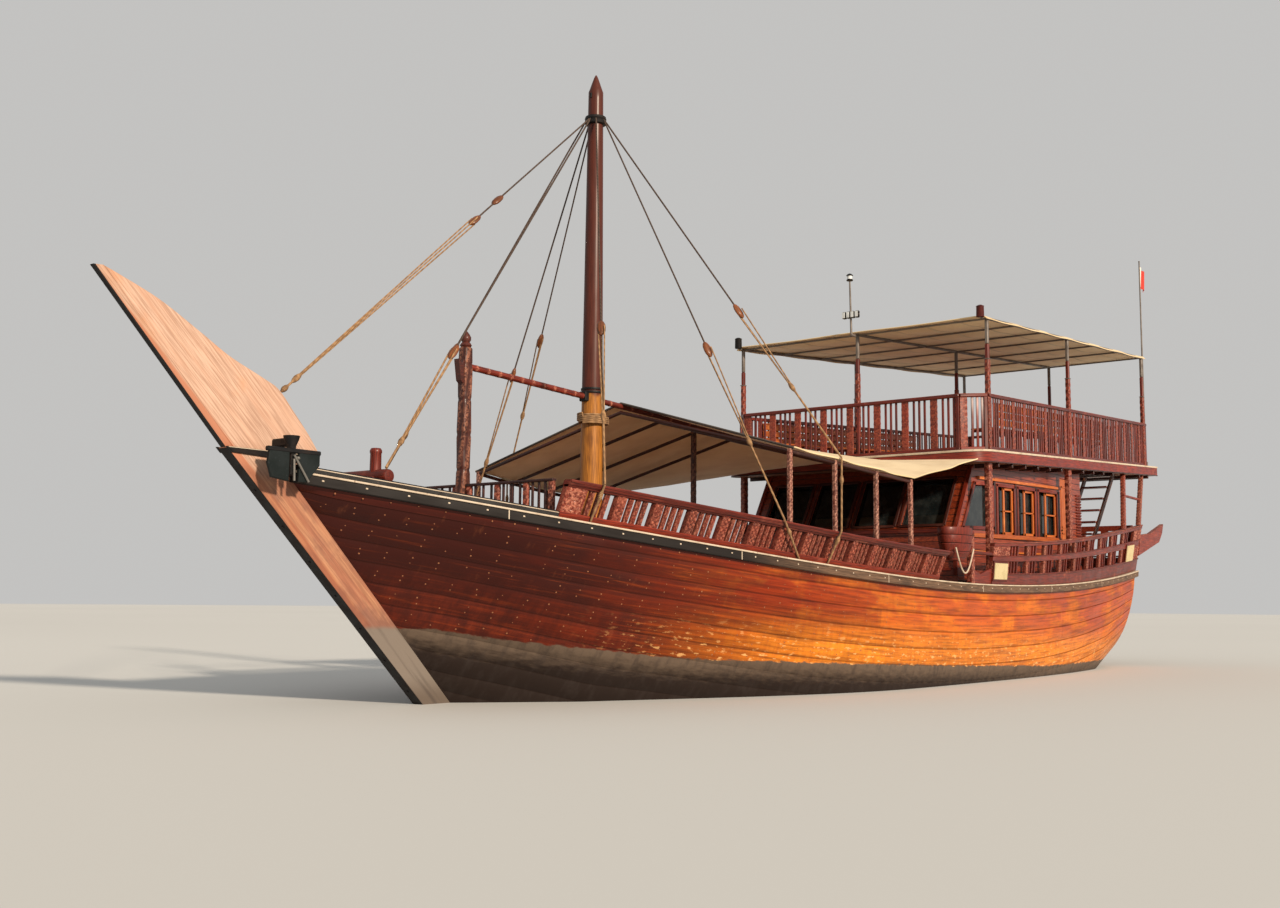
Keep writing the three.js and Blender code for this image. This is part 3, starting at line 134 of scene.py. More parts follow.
SECTION_BOW = [[0.1, 0.1], [0.2, 0.22], [0.32, 0.36], [0.46, 0.5], [0.62, 0.65], [0.79, 0.8], [0.92, 0.92]]
SECTION_MID = [[0.3, 0.045], [0.55, 0.12], [0.74, 0.22], [0.87, 0.35], [0.945, 0.52], [0.985, 0.72],
               [1, 0.88]]
SECTION_STERN = [[0.25, 0.04], [0.5, 0.1], [0.7, 0.19], [0.84, 0.31], [0.93, 0.47], [0.98, 0.66], [1, 0.85]]
KNOTS = 10


def hull_knots(x):
    """Ten points of the section at each station: foot, seven shares of width and height, two at the top."""
    mid, bow, stern = (np.array(s)[None] for s in (SECTION_MID, SECTION_BOW, SECTION_STERN))
    to_bow = smooth((x - 1.5) / 7.5)[:, None, None]
    to_stern = smooth((-x - 1.5) / 6.5)[:, None, None]
    shares = mid + to_bow * (bow - mid) + to_stern * (stern - mid)
    foot = np.where(x < RAKE_X, -0.9 + aft_part(x) * 0.55, rabbet(x))
    top, half = sheer(x), half_beam(x)
    strake = np.minimum(TOP_STRAKE, 0.5 * (top - foot))
    y = STEM_HALF + (half - STEM_HALF)[:, None] * shares[..., 0]
    z = foot[:, None] + (top - strake - foot)[:, None] * shares[..., 1]
    y = np.column_stack([np.full_like(x, STEM_HALF), y, half, half])
    z = np.column_stack([foot, z, top - strake, top])
    return np.stack([y, z], -1)


def curve_weights(t, count):
    """Catmull-Rom weights of count points at parameters t, one row for each t."""
    first = np.clip(np.floor(t).astype(int), 0, count - 2)
    f = t - first
    four = 0.5 * np.stack(
        [-f + 2 * f**2 - f**3, 2 - 5 * f**2 + 3 * f**3, f + 4 * f**2 - 3 * f**3, f**3 - f**2], -1)
    rows = np.zeros((len(t), count))
    for k in range(4):
        np.add.at(rows, (np.arange(len(t)), np.clip(first + k - 1, 0, count - 1)), four[:, k])
    return rows


def hull_point(x, t):
    """Point of the port side at station x and girth parameter t. The stations aft rake to the transom."""
    y, z = np.einsum("nk,nkc->cn", curve_weights(t, KNOTS), hull_knots(x))
    raked = np.where(x < RAKE_X, RAKE_X + aft_part(x) * (transom_x(z) - RAKE_X), x)
    return np.stack([raked, y, z], -1)


def hull_normal(x, t):
    """Outward direction: the cross product of the surface's two slopes."""
    step = 1e-3
    x = np.clip(x, STERN_X + step, PLANK_END_X - step)
    t = np.clip(t, step, KNOTS - 1 - step)
    along = hull_point(x + step, t) - hull_point(x - step, t)
    up = hull_point(x, t + step) - hull_point(x, t - step)
    normal = np.cross(up, along)
    return normal / np.linalg.norm(normal, axis=1, keepdims=True)


def girths(x):
    """Length round the section up to each of 200 even knot parameters, one row for each station."""
    t = np.linspace(0, KNOTS - 1, 200)
    xs, ts = np.meshgrid(x, t, indexing="ij")
    points = hull_point(xs.ravel(), ts.ravel()).reshape(len(x), len(t), 3)
    steps = np.linalg.norm(np.diff(points, axis=1), axis=2)
    return t, np.concatenate([np.zeros((len(x), 1)), np.cumsum(steps, axis=1)], axis=1)


def strake_knots(x, share):
    """Knot parameter, at each station, of each share of the planking counted up from the keel amidships.
    Forward the strakes keep their width and run out on the stem; aft they narrow with the girth."""
    t, length = girths(x)
    full = np.where(x > 0, girths(np.zeros(1))[1][0, -1], length[:, -1])
    reach = length[:, -1:] - (1 - share) * full[:, None]
    return np.array([np.interp(row, line, t) for row, line in zip(reach, length)])


# Forms: closed skins as whole arrays

class Form:
    """Points, four-sided faces, end faces, each point's place in the wood (metres), its wear, and a tone."""

    def __init__(self, points, quads, ends=(), grain=None, wear=None, material=0):
        self.points = np.asarray(points, float)
        self.quads = np.asarray(quads, int).reshape(-1, 4)
        self.ends = [list(map(int, end)) for end in ends]
        self.grain = self.points.copy() if grain is None else np.asarray(grain, float)
        self.grain = self.grain + RANDOM.uniform(0, 20, 3)
        self.wear = np.zeros(len(self.points)) if wear is None else np.asarray(wear, float)
        self.tone = np.full(len(self.points), RANDOM.random())
        self.material = np.full(len(self.quads) + len(self.ends), material)


def outward(form):
    """Turns a closed skin so that its faces point out: six times its volume must be positive."""
    p, q = form.points, form.quads
    triangles = np.concatenate([q[:, [0, 1, 2]], q[:, [0, 2, 3]]])
    fans = [[end[0], end[i], end[i + 1]] for end in form.ends for i in range(1, len(end) - 1)]
    if fans:
        triangles = np.concatenate([triangles, np.array(fans)])
    a, b, c = (p[triangles[:, k]] - p[0] for k in range(3))
    if np.einsum("ij,ij->", a, np.cross(b, c)) < 0:
        form.quads = q[:, ::-1].copy()
        form.ends = [end[::-1] for end in form.ends]
    return form


def loft(rings, section=None, wear=None, material=0, closed_path=False):
    """Skin through rings: point k of one ring joins point k of the next, and flat faces close the ends."""
    rings = np.asarray(rings, float)
    n, k = rings.shape[:2]
    index = np.arange(n * k).reshape(n, k)
    turned = np.roll(index, -1, axis=1)
    following = np.roll(index, -1, axis=0) if closed_path else index[1:]
    following_turned = np.roll(turned, -1, axis=0) if closed_path else turned[1:]
    own, own_turned = (index, turned) if closed_path else (index[:-1], turned[:-1])
    quads = np.stack([own, own_turned, following_turned, following], -1).reshape(-1, 4)
    centres = rings.mean(axis=1)
    steps = np.linalg.norm(np.diff(centres, axis=0), axis=1)
    along = np.concatenate([[0], np.cumsum(steps)])[:, None] * np.ones((1, k))
    if section is None:
        across = np.linalg.norm(rings - centres[:, None], axis=2)
        angle = np.linspace(0, 2 * np.pi, k, endpoint=False)[None]
        section = np.stack([across * np.cos(angle), across * np.sin(angle)], -1)
    section = np.broadcast_to(section, (n, k, 2))
    grain = np.concatenate([along[..., None], section], -1).reshape(-1, 3)
    ends = [] if closed_path else [index[0][::-1], index[-1]]
    wear = None if wear is None else np.broadcast_to(wear, (n, k)).reshape(-1)
    return outward(Form(rings.reshape(-1, 3), quads, ends, grain, wear, material))


def rectangle(width, depth, chamfer=0.004):
    """Section of a board: a rectangle with its four corners planed off, eight points."""
    w, d = width / 2, depth / 2
    c = min(chamfer, 0.45 * min(w, d))
    return np.array([
        [w - c, -d], [w, -d + c], [w, d - c], [w - c, d], [-w + c, d], [-w, d - c], [-w, -d + c],
        [-w + c, -d],
    ])


def circle(radius, sides=12):
    """Section of a rod: points at even angles on a circle."""
    angle = np.linspace(0, 2 * np.pi, sides, endpoint=False)
    return radius * np.column_stack([np.cos(angle), np.sin(angle)])


def sweep(path, section, up=(0, 0, 1), **options):
    """Carries a section along a path: its first axis lies level and across, its second nearest to up."""
    path = np.asarray(path, float)
    tangent = np.gradient(path, axis=0)
    tangent /= np.linalg.norm(tangent, axis=1, keepdims=True)
    side = np.cross(tangent, np.asarray(up, float))
    side /= np.linalg.norm(side, axis=1, keepdims=True)
    lift = np.cross(side, tangent)
    section = np.broadcast_to(section, (len(path), *np.shape(section)[-2:]))
    rings = path[:, None] + section[..., :1] * side[:, None] + section[..., 1:] * lift[:, None]
    return loft(rings, section=section, **options)


def bar(start, end, width, depth=None, up=(0, 0, 1), chamfer=0.004, taper=1.0, **options):
    """Straight board between two points, with its edges planed off, tapering to a share of its width."""
    start, end = np.array([start, end], float)
    length = np.linalg.norm(end - start)
    depth = width if depth is None else depth
    c = min(chamfer, 0.2 * width, 0.2 * depth, 0.2 * length)
    at = np.array([0, c / length, 1 - c / length, 1])
    shrink = np.array([1 - 2 * c / max(width, depth), 1, 1, 1 - 2 * c / max(width, depth)])
    section = rectangle(width, depth, c)[None] * (shrink * (1 + (taper - 1) * at))[:, None, None]
    return sweep(start + at[:, None] * (end - start), section, up, **options)


def rod(start, end, radius, sides=12, end_radius=None, **options):
    """Straight round rod between two points."""
    start, end = np.array([start, end], float)
    up = (1, 0, 0) if abs((end - start)[2]) > 0.9 * np.linalg.norm(end - start) else (0, 0, 1)
    radii = np.array([radius, radius if end_radius is None else end_radius])
    section = circle(1, sides)[None] * radii[:, None, None]
    return sweep(np.array([start, end]), section, up, **options)


def box(low, high, chamfer=0.004, **options):
    """Block between two corners, its long edges planed off, with the grain along its longest side."""
    low, high = np.array([low, high], float)
    size = high - low
    axis = int(np.argmax(size))
    middle = (low + high) / 2
    start, end = middle.copy(), middle.copy()
    start[axis], end[axis] = low[axis], high[axis]
    up = np.eye(3)[2 if axis != 2 else 1]
    width = size[{0: 1, 1: 0, 2: 0}[axis]]
    depth = size[{0: 2, 1: 2, 2: 1}[axis]]
    return bar(start, end, width, depth, up, chamfer, **options)


def turned(profile, centre, sides=16, lean=(0, 0), **options):
    """Turned piece: a profile of radius and height spun about an upright line, which may lean."""
    profile = np.asarray(profile, float)
    angle = np.linspace(0, 2 * np.pi, sides, endpoint=False)
    ring = np.stack([np.cos(angle), np.sin(angle)], -1)
    rings = np.empty((len(profile), sides, 3))
    rings[..., :2] = profile[:, None, :1] * ring[None]
    rings[..., :2] += profile[:, None, 1:] * np.asarray(lean)
    rings[..., 2] = profile[:, 1:]
    return loft(rings + np.asarray(centre, float), section=profile[:, None, :1] * ring[None], **options)


def plate(outline, low, high, axis=1, chamfer=0.006, **options):
    """Board cut to an outline, given in the two other axes, between two values on one axis."""
    outline = np.asarray(outline, float)
    before, after = np.roll(outline, 1, axis=0), np.roll(outline, -1, axis=0)
    edges = [outline - before, after - outline]
    normals = [np.stack([e[:, 1], -e[:, 0]], -1) / np.linalg.norm(e, axis=1, keepdims=True) for e in edges]
    area = 0.5 * np.sum(outline[:, 0] * after[:, 1] - after[:, 0] * outline[:, 1])
    bisector = (normals[0] + normals[1]) * np.sign(area)
    bisector /= np.maximum(np.einsum("ij,ij->i", bisector, bisector), 0.3)[:, None]
    inset = outline - 2 * chamfer * bisector
    rings = np.empty((4, len(outline), 3))
    others = [k for k in range(3) if k != axis]
    for ring, line, place in zip(rings, (inset, outline, outline, inset),
                                 (low, low + chamfer, high - chamfer, high)):
        ring[:, others[0]], ring[:, others[1]], ring[:, axis] = line[:, 0], line[:, 1], place
    form = loft(rings, **options)
    form.grain = rings.reshape(-1, 3)[:, [others[0], others[1], axis]] + RANDOM.uniform(0, 20, 3)
    return form


def on_gunwale(side, x, across, high, lean, **options):
    """Carries a section of distances across and heights along the gunwale, leaning out with height."""
    x = np.asarray(x, float)[:, None]
    high = np.broadcast_to(high, (x.shape[0], np.shape(high)[-1]))
    across = np.broadcast_to(across, high.shape)
    raked = x - TRANSOM_RAKE * high * aft_part(x)
    y = side * (half_beam(raked) + lean * high + across)
    rings = np.stack([raked, y, sheer(x) + high], -1)
    return loft(rings, section=np.stack([across, high], -1), **options)


def gunwale_rail(side, x0, x1, high, across, lean, count=60, chamfer=0.006, **options):
    """Rail or board along the gunwale between two heights and two distances across, edges planed off."""
    x = np.linspace(x0, x1, count)
    low_z, top_z = (np.array([h(v) if callable(h) else h for v in x]) for h in high)
    near, far = across
    c = chamfer
    ring_y = [near + c, far - c, far, far, far - c, near + c, near, near]
    ring_low = [1, 1, 1, 0, 0, 0, 0, 1]
    nudge = [0, 0, c, -c, 0, 0, -c, c]
    z = np.where(np.array(ring_low, bool)[None], low_z[:, None], top_z[:, None]) + np.array(nudge)[None]
    return on_gunwale(side, x, np.array(ring_y)[None], z, lean, **options)


def rails(side, x0, x1, lean, count, *rows):
    """Rails of one run along the gunwale: each row gives low, top, near, far, chamfer and material."""
    return [gunwale_rail(side, x0, x1, row[:2], row[2:4], lean, count, row[4], material=row[5])
            for row in rows]


def relief(along, around, pitch, depth):
    """Chip carving: rows of lozenges, deepest between them, broken by a slow uneven wave."""
    lozenge = np.abs(np.sin(np.pi * along / pitch + around)) * np.abs(np.sin(np.pi * along / pitch - around))
    uneven = 0.5 + 0.5 * np.sin(17.0 * along / pitch + 3 * around) * np.sin(7.3 * along / pitch)
    return depth * (0.75 * lozenge + 0.35 * uneven - 0.5)


def carved_section(base, length, rows, pitch, cut):
    """Section at even rows along a post, its edges pushed in and out by relief, and the wear on it."""
    corner = np.linspace(0, 2 * np.pi, len(base), endpoint=False)
    height = relief(np.linspace(0, 1, rows)[:, None] * length, corner[None] * 2, pitch, cut)
    height[[0, 1, -2, -1]] = 0
    section = base[None] * (1 + height / np.linalg.norm(base, axis=1)[None])[..., None]
    return section, np.clip(0.5 + height / cut, 0, 1)


def carved_bar(start, end, width, depth, up=(0, 0, 1), pitch=0.12, cut=0.007, rows=None, **options):
    """Square post whose faces are cut in relief along its length, worn pale where it stands proud."""
    start, end = np.array([start, end], float)
    length = np.linalg.norm(end - start)
    rows = rows or max(12, int(length / 0.022))
    base = rectangle(width, depth, 0.2 * min(width, depth))
    section, wear = carved_section(base, length, rows, pitch, cut)
    path = start + np.linspace(0, 1, rows)[:, None] * (end - start)
    return sweep(path, section, up, wear=wear, **options)


def cloth_sheet(points, thickness, material=0, back_material=None):
    """Thin closed sheet from a grid of points: a second layer below it, joined round the edge."""
    n, m = points.shape[:2]
    along, across = np.gradient(points, axis=(0, 1))
    normal = np.cross(along, across)
    normal /= np.linalg.norm(normal, axis=2, keepdims=True)
    normal *= np.sign(normal[n // 2, m // 2, 2] or 1)
    both = np.stack([points, points - thickness * normal])
    index = np.arange(2 * n * m).reshape(2, n, m)
    top, bottom = index
    faces = [np.stack([top[:-1, :-1], top[1:, :-1], top[1:, 1:], top[:-1, 1:]], -1).reshape(-1, 4)]
    around = [bottom[:-1, :-1], bottom[:-1, 1:], bottom[1:, 1:], bottom[1:, :-1]]
    faces.append(np.stack(around, -1).reshape(-1, 4))
    rim_top = np.concatenate([top[:, 0], top[-1, 1:], top[-2::-1, -1], top[0, -2:0:-1]])
    rim_bottom = np.concatenate([bottom[:, 0], bottom[-1, 1:], bottom[-2::-1, -1], bottom[0, -2:0:-1]])
    faces.append(np.stack([rim_top, rim_bottom, np.roll(rim_bottom, -1), np.roll(rim_top, -1)], -1))
    steps = [np.linalg.norm(np.diff(points, axis=a), axis=2).mean() for a in (0, 1)]
    u, v = np.meshgrid(np.arange(n) * steps[0], np.arange(m) * steps[1], indexing="ij")
    flat = np.stack([u, v, np.zeros_like(u)], -1)
    form = Form(both.reshape(-1, 3), np.concatenate(faces), grain=np.stack([flat, flat]).reshape(-1, 3))
    form.material[:] = material
    if back_material is not None:
        form.material[len(faces[0]):len(faces[0]) + len(faces[1])] = back_material
    return outward(form)


def piece(name, forms, materials, replaces=(), body="boat", sharp=35, extra=None):
    """Joins forms into one object that rides on a body, with its grain, wear and tone as attributes."""
    forms = list(forms)
    offset = np.cumsum([0] + [len(form.points) for form in forms])
    points = np.concatenate([form.points for form in forms])
    faces, indices = [], []
    for form, start in zip(forms, offset):
        faces += (form.quads + start).tolist()
        faces += [[int(i + start) for i in end] for end in form.ends]
        indices.append(form.material)
    mesh = bpy.data.meshes.new(name)
    mesh.from_pydata(points.tolist(), [], faces)
    for label, kind, field in (
        ("grain", "FLOAT_VECTOR", "vector"), ("wear", "FLOAT", "value"), ("tone", "FLOAT", "value"),
    ):
        values = np.concatenate([getattr(form, label) for form in forms]).astype(np.float32)
        mesh.attributes.new(label, kind, "POINT").data.foreach_set(field, values.ravel())
    for label, values in (extra or {}).items():
        mesh.attributes.new(label, "FLOAT_VECTOR", "POINT").data.foreach_set(
            "vector", values.astype(np.float32).ravel())
    for material in materials:
        mesh.materials.append(material)
    mesh.polygons.foreach_set("material_index", np.concatenate(indices).astype(np.int32))
    mesh.polygons.foreach_set("use_smooth", np.ones(len(mesh.polygons), bool))
    mesh.set_sharp_from_angle(angle=math.radians(sharp))
    mesh.update()
    made = bpy.data.objects.new(name, mesh)
    bpy.context.scene.collection.objects.link(made)
    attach(made, body)
    if replaces:
        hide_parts(*replaces)
    return made


# Materials

def linear(text):
    """Linear colour of an sRGB hex value: each channel goes through the sRGB curve."""
    values = [int(text[i:i + 2], 16) / 255 for i in (1, 3, 5)]
    return (*[v / 12.92 if v <= 0.04045 else ((v + 0.055) / 1.055) ** 2.4 for v in values], 1.0)


# What can be added: its node, the inputs that its values go to in turn, the output read, its settings
NODES = {
    "object": ("TexCoord", (), "Object", {}),
    "scaled": ("Mapping", ("Vector", "Scale"), 0, {}),
    "turned": ("Mapping", ("Vector", "Rotation"), 0, {}),
    "axes": ("SeparateXYZ", (0,), slice(3), {}),
    "point": ("CombineXYZ", (0, 1, 2), 0, {}),
    "noise": ("TexNoise", ("Vector", "Scale", "Detail", "Roughness"), 0, {}),
    "waves": ("TexWave", ("Vector", "Scale", "Distortion"), 1, {}),
    "chance": ("TexWhiteNoise", ("W",), 0, {"noise_dimensions": "1D"}),
    "chance_at": ("TexWhiteNoise", ("Vector",), 0, {"noise_dimensions": "3D"}),
    "ramp": ("MapRange", (0, 1, 2, 3, 4), 0, {"interpolation_type": "SMOOTHSTEP"}),
    "blend": ("Mix", (0, 6, 7), 2, {"data_type": "RGBA"}),
    "darken": ("Mix", (0, 6, 7), 2, {"data_type": "RGBA", "blend_type": "MULTIPLY"}),
    "bump": ("Bump", ("Height", "Distance", "Strength"), 0, {}),
}
for label in ("grain", "plank", "zone", "wear", "tone"):
    output = "Fac" if label in ("wear", "tone") else "Vector"
    NODES[label] = ("Attribute", (), output, {"attribute_name": label})
for operation in ("ADD", "SUBTRACT", "MULTIPLY", "MULTIPLY_ADD", "DIVIDE", "FLOOR", "PINGPONG", "MAXIMUM"):
    NODES[operation] = ("Math", (0, 1, 2), 0, {"operation": operation})


def give(socket, value):
    """Links an output to a socket, or sets its plain value, which may be a colour in sRGB hex."""
    if isinstance(value, bpy.types.NodeSocket):
        socket.id_data.links.new(value, socket)
    else:
        socket.default_value = linear(value) if isinstance(value, str) else value


def node(tree, kind, *values, **settings):
    """Adds one of the nodes listed above with its settings and links, and gives the output that is read."""
    label, inputs, output, fixed = NODES[kind]
    made = tree.nodes.new("ShaderNode" + label)
    for name, value in {**fixed, **settings}.items():
        setattr(made, name, value)
    for key, value in zip(inputs, values):
        give(made.inputs[key], value)
    return made.outputs[output]


def finish_of(name, **values):
    """New material: gives the function that adds its nodes, and the one that feeds its shader's sockets,
    named with underlines for spaces, and gives the material back."""
    material = bpy.data.materials.new(name)
    material.use_nodes = True
    tree = material.node_tree

    def feed(**values):
        """Gives each named socket of the shader its output or plain value."""
        for key, value in values.items():
            give(tree.nodes["Principled BSDF"].inputs[key.replace("_", " ")], value)
        return material

    feed(**values)
    return partial(node, tree), feed


def cloudy(add, place, scale, detail, rough, stretch=(1, 1, 1)):
    """Noise at a number of waves a metre, its place stretched by axis."""
    return add("noise", add("scaled", place, [scale * s for s in stretch]), 1.0, detail, rough)


def layered(add, colour, *layers):
    """Lays colours over a first one in turn, each through its own mask."""
    for mask, over in layers:
        colour = add("blend", mask, colour, over)
    return colour


# The wave pattern turns once in this many of its own units
WAVE_TURN = 6.283


def wood(name, base, dark, worn, rough=0.42, coat=0.25, attribute=True, axis=0, chips=0.0):
    """Wood with its fibres along one axis: about 9 mm wide bands, darker pores, boards of unlike tone,
    and bare pale wood where carving stands proud."""
    add, feed = finish_of(name, Coat_Weight=coat, Coat_Roughness=0.25, Specular_IOR_Level=0.28)
    place = add("grain" if attribute else "object")
    stretch = [1.0, 1.0, 1.0]
    stretch[axis] = 0.035
    fibres = cloudy(add, place, 110, 4, 0.6, stretch)
    bands = cloudy(add, place, 24, 2, 0.5, stretch)
    patches = cloudy(add, place, 2.6, 3, 0.6)
    colour = layered(add, dark, (add("ramp", fibres, 0.36, 0.66), base),
                     (add("ramp", bands, 0.35, 0.75, 0, 0.55), dark))
    if attribute:
        colour = add("darken", add("ramp", add("tone"), 0, 1, 0, 0.4), colour, dark)
        flaked = add("MULTIPLY", add("wear"), add("ramp", cloudy(add, place, 38, 3, 0.7), 0.38, 0.62))
        colour = add("blend", flaked, colour, worn)
    return feed(
        Base_Color=add("blend", add("ramp", patches, 0.58, 0.78, 0, 0.35 + chips), colour, worn),
        Roughness=add("ramp", patches, 0.3, 0.8, rough, min(rough + 0.25, 1)),
        Normal=add("bump", fibres, 0.0012, 0.6))


def cloth(name, base, shade, thread_mm=6.0):
    """Canvas: a plain weave drawn coarse so that it shows, with faint stains and a matt face."""
    add, feed = finish_of(name, Roughness=0.92, Sheen_Weight=0.15)
    place = add("grain")
    scale = 1000 / thread_mm / WAVE_TURN
    weave = add("MULTIPLY", *[add("waves", place, scale, 0.6, bands_direction=axis) for axis in ("X", "Y")])
    stains = cloudy(add, place, 1.6, 4, 0.6)
    return feed(
        Base_Color=layered(add, base, (add("ramp", stains, 0.35, 0.7, 0, 0.6), shade),
                           (add("ramp", weave, 0, 1, 0.25, 0), shade)),
        Normal=add("bump", weave, 0.0006, 0.5))


def painted(name, base, worn, rough=0.5, metallic=0.0, attribute=True):
    """Paint on wood or iron: an even coat with grime in patches and small chips of another colour."""
    add, feed = finish_of(name, Metallic=metallic, Specular_IOR_Level=0.25)
    place = add("grain" if attribute else "object")
    grime = cloudy(add, place, 5.0, 4, 0.6)
    chips = cloudy(add, place, 42.0, 2, 0.5)
    return feed(
        Base_Color=layered(add, base, (add("ramp", grime, 0.4, 0.75, 0, 0.5), worn),
                           (add("ramp", chips, 0.66, 0.7), worn)),
        Roughness=add("ramp", grime, 0.3, 0.8, rough, min(rough + 0.3, 1)),
        Normal=add("bump", chips, 0.0006, 0.4))


def rope_material(name, base, shade, lay_mm=26.0):
    """Laid rope: strands that turn round it every few centimetres, with grime between them."""
    add, feed = finish_of(name, Roughness=0.9)
    place = add("grain")
    strands = add("waves", place, 1000 / lay_mm / WAVE_TURN, 1.0, bands_direction="DIAGONAL")
    grime = cloudy(add, place, 9.0, 3, 0.6)
    return feed(
        Base_Color=layered(add, shade, (add("ramp", strands, 0, 1, 0.45, 1), base),
                           (add("ramp", grime, 0.4, 0.7, 0, 0.5), shade)),
        Normal=add("bump", strands, 0.002, 0.8))


def glass_material():
    """Tinted window glass over a dark inside: clear, a little green, with faint dust."""
    add, feed = finish_of("window_glass", Roughness=0.06, IOR=1.5, Transmission_Weight=0.55)
    dust = cloudy(add, add("object"), 6.0, 4, 0.6)
    return feed(Base_Color=add("blend", add("ramp", dust, 0.4, 0.8, 0, 0.5), "#1e2628", "#5c625f"))


def hull_material():
    """Oiled teak planks. Board by board they differ in tone; the bow is dark, partly older varnish and
    partly painted shade, and the waist worn to orange and brightened by painted sunlight, with streaks
    down the side, blotches above the paint line, a band of painted shade under the rub rail,
    and grey bottom paint under it."""
    add, feed = finish_of("oiled_teak_planking", Coat_Weight=0.04, Coat_Roughness=0.3,
                          Specular_IOR_Level=0.22)
    place = add("plank")
    along, strake, _ = add("axes", place)
    station, above, below = add("axes", add("zone"))
    row = add("FLOOR", strake)
    board = add("FLOOR", add("ADD", add("DIVIDE", along, 4.3), add("chance", row)))
    tone = add("chance_at", add("point", row, board, 0.5))
    fibres = cloudy(add, place, 1.0, 5, 0.65, (1.1, 6, 1))
    blotch = cloudy(add, place, 1.0, 4, 0.6, (0.9, 0.5, 1))
    streaks = cloudy(add, place, 1.0, 4, 0.65, (9, 0.7, 1))
    specks = cloudy(add, place, 1.0, 3, 0.6, (7, 4.5, 1))
    # Along the boat: maroon at the bow, orange in the waist, red-brown aft; the dark bow is partly painted
    # shade and the bright orange waist partly painted sunlight
    where = add("ADD", station, add("MULTIPLY_ADD", blotch, 5.0, -2.5))
    red_low = add("MULTIPLY", add("ramp", above, 0.8, 0.1), add("ramp", streaks, 0.35, 0.65, 0.2, 0.7))
    waist = add("ramp", station, 6.6, 3.2)
    amber = add("MULTIPLY", add("MULTIPLY", waist, add("ramp", blotch, 0.44, 0.62)), 0.5)
    low = add("MULTIPLY", add("MULTIPLY", add("ramp", above, 0.75, 0.2), waist), 0.95)
    amber = add("MULTIPLY", add("MAXIMUM", amber, low), add("ramp", streaks, 0.3, 0.62, 0.65, 1))
    # Orange in patches along the fibres, stronger aft: partly the wood's own tone, partly painted sunlight
    orange_and_painted_sun = add("MULTIPLY", add("ramp", fibres, 0.52, 0.7), add("ramp", blotch, 0.35, 0.65))
    orange_and_painted_sun = add("MULTIPLY", orange_and_painted_sun, add("ramp", station, 8.5, 4.5, 0.12, 0.45))
    pale = add("MULTIPLY", add("ramp", streaks, 0.6, 0.8), add("ramp", station, 1.0, -5.0, 0.1, 0.55))
    patchy = add("MULTIPLY", add("ramp", specks, 0.57, 0.66), add("ramp", above, 0.6, 0.05))
    patchy = add("MULTIPLY", add("MULTIPLY", patchy, add("ramp", station, 7.2, 5.5)), 0.75)
    seam = add("ramp", add("PINGPONG", strake, 0.5), 0.06, 0.03)
    # Painted shade: a band darkest just under the rub rail, where its shadow falls, fading out downwards
    top = add("MULTIPLY", add("ramp", below, 0.2, 0.12), 0.35)
    # Bottom paint: grey with a ragged weathered edge, darker further down
    ragged = add("MULTIPLY_ADD", specks, 0.09, -0.045)
    under = add("ramp", add("ADD", above, ragged), 0.012, -0.012)
    deep = add("ramp", add("ADD", above, add("MULTIPLY", ragged, 3.0)), -0.02, -0.3)
    paint = layered(add, "#57493d", (deep, "#1d120d"), (add("ramp", streaks, 0.45, 0.7, 0, 0.5), "#2c2421"))
    colour = layered(
        add, "#2a0804",
        (add("ramp", where, 7.6, 4.0), "#862a06"), (red_low, "#6a2209"),
        (add("ramp", where, 4.5, 0.5, 0, 0.8), "#bc540c"),
        (add("ramp", where, -2.0, -6.0, 0, 0.75), "#a64016"),
        (amber, "#de8420"), (add("ramp", tone, 0, 1, 0, 0.3), "#4c1509"),
        (add("ramp", fibres, 0.3, 0.62, 0.6, 0), "#330e06"), (orange_and_painted_sun, "#c2540f"), (pale, "#c9784a"),
        (patchy, "#d8a86c"), (add("MULTIPLY", seam, 0.5), "#260a05"), (top, "#5a1d10"), (under, paint),
    )
    gloss = add("MAXIMUM", add("ramp", blotch, 0.3, 0.7, 0.34, 0.55), seam)
    height = add("ADD", add("MULTIPLY", fibres, 0.5), add("MULTIPLY", tone, 0.6))
    return feed(Base_Color=colour, Roughness=add("MAXIMUM", gloss, add("MULTIPLY", under, 0.7)),
                Normal=add("bump", height, 0.004, 0.7))


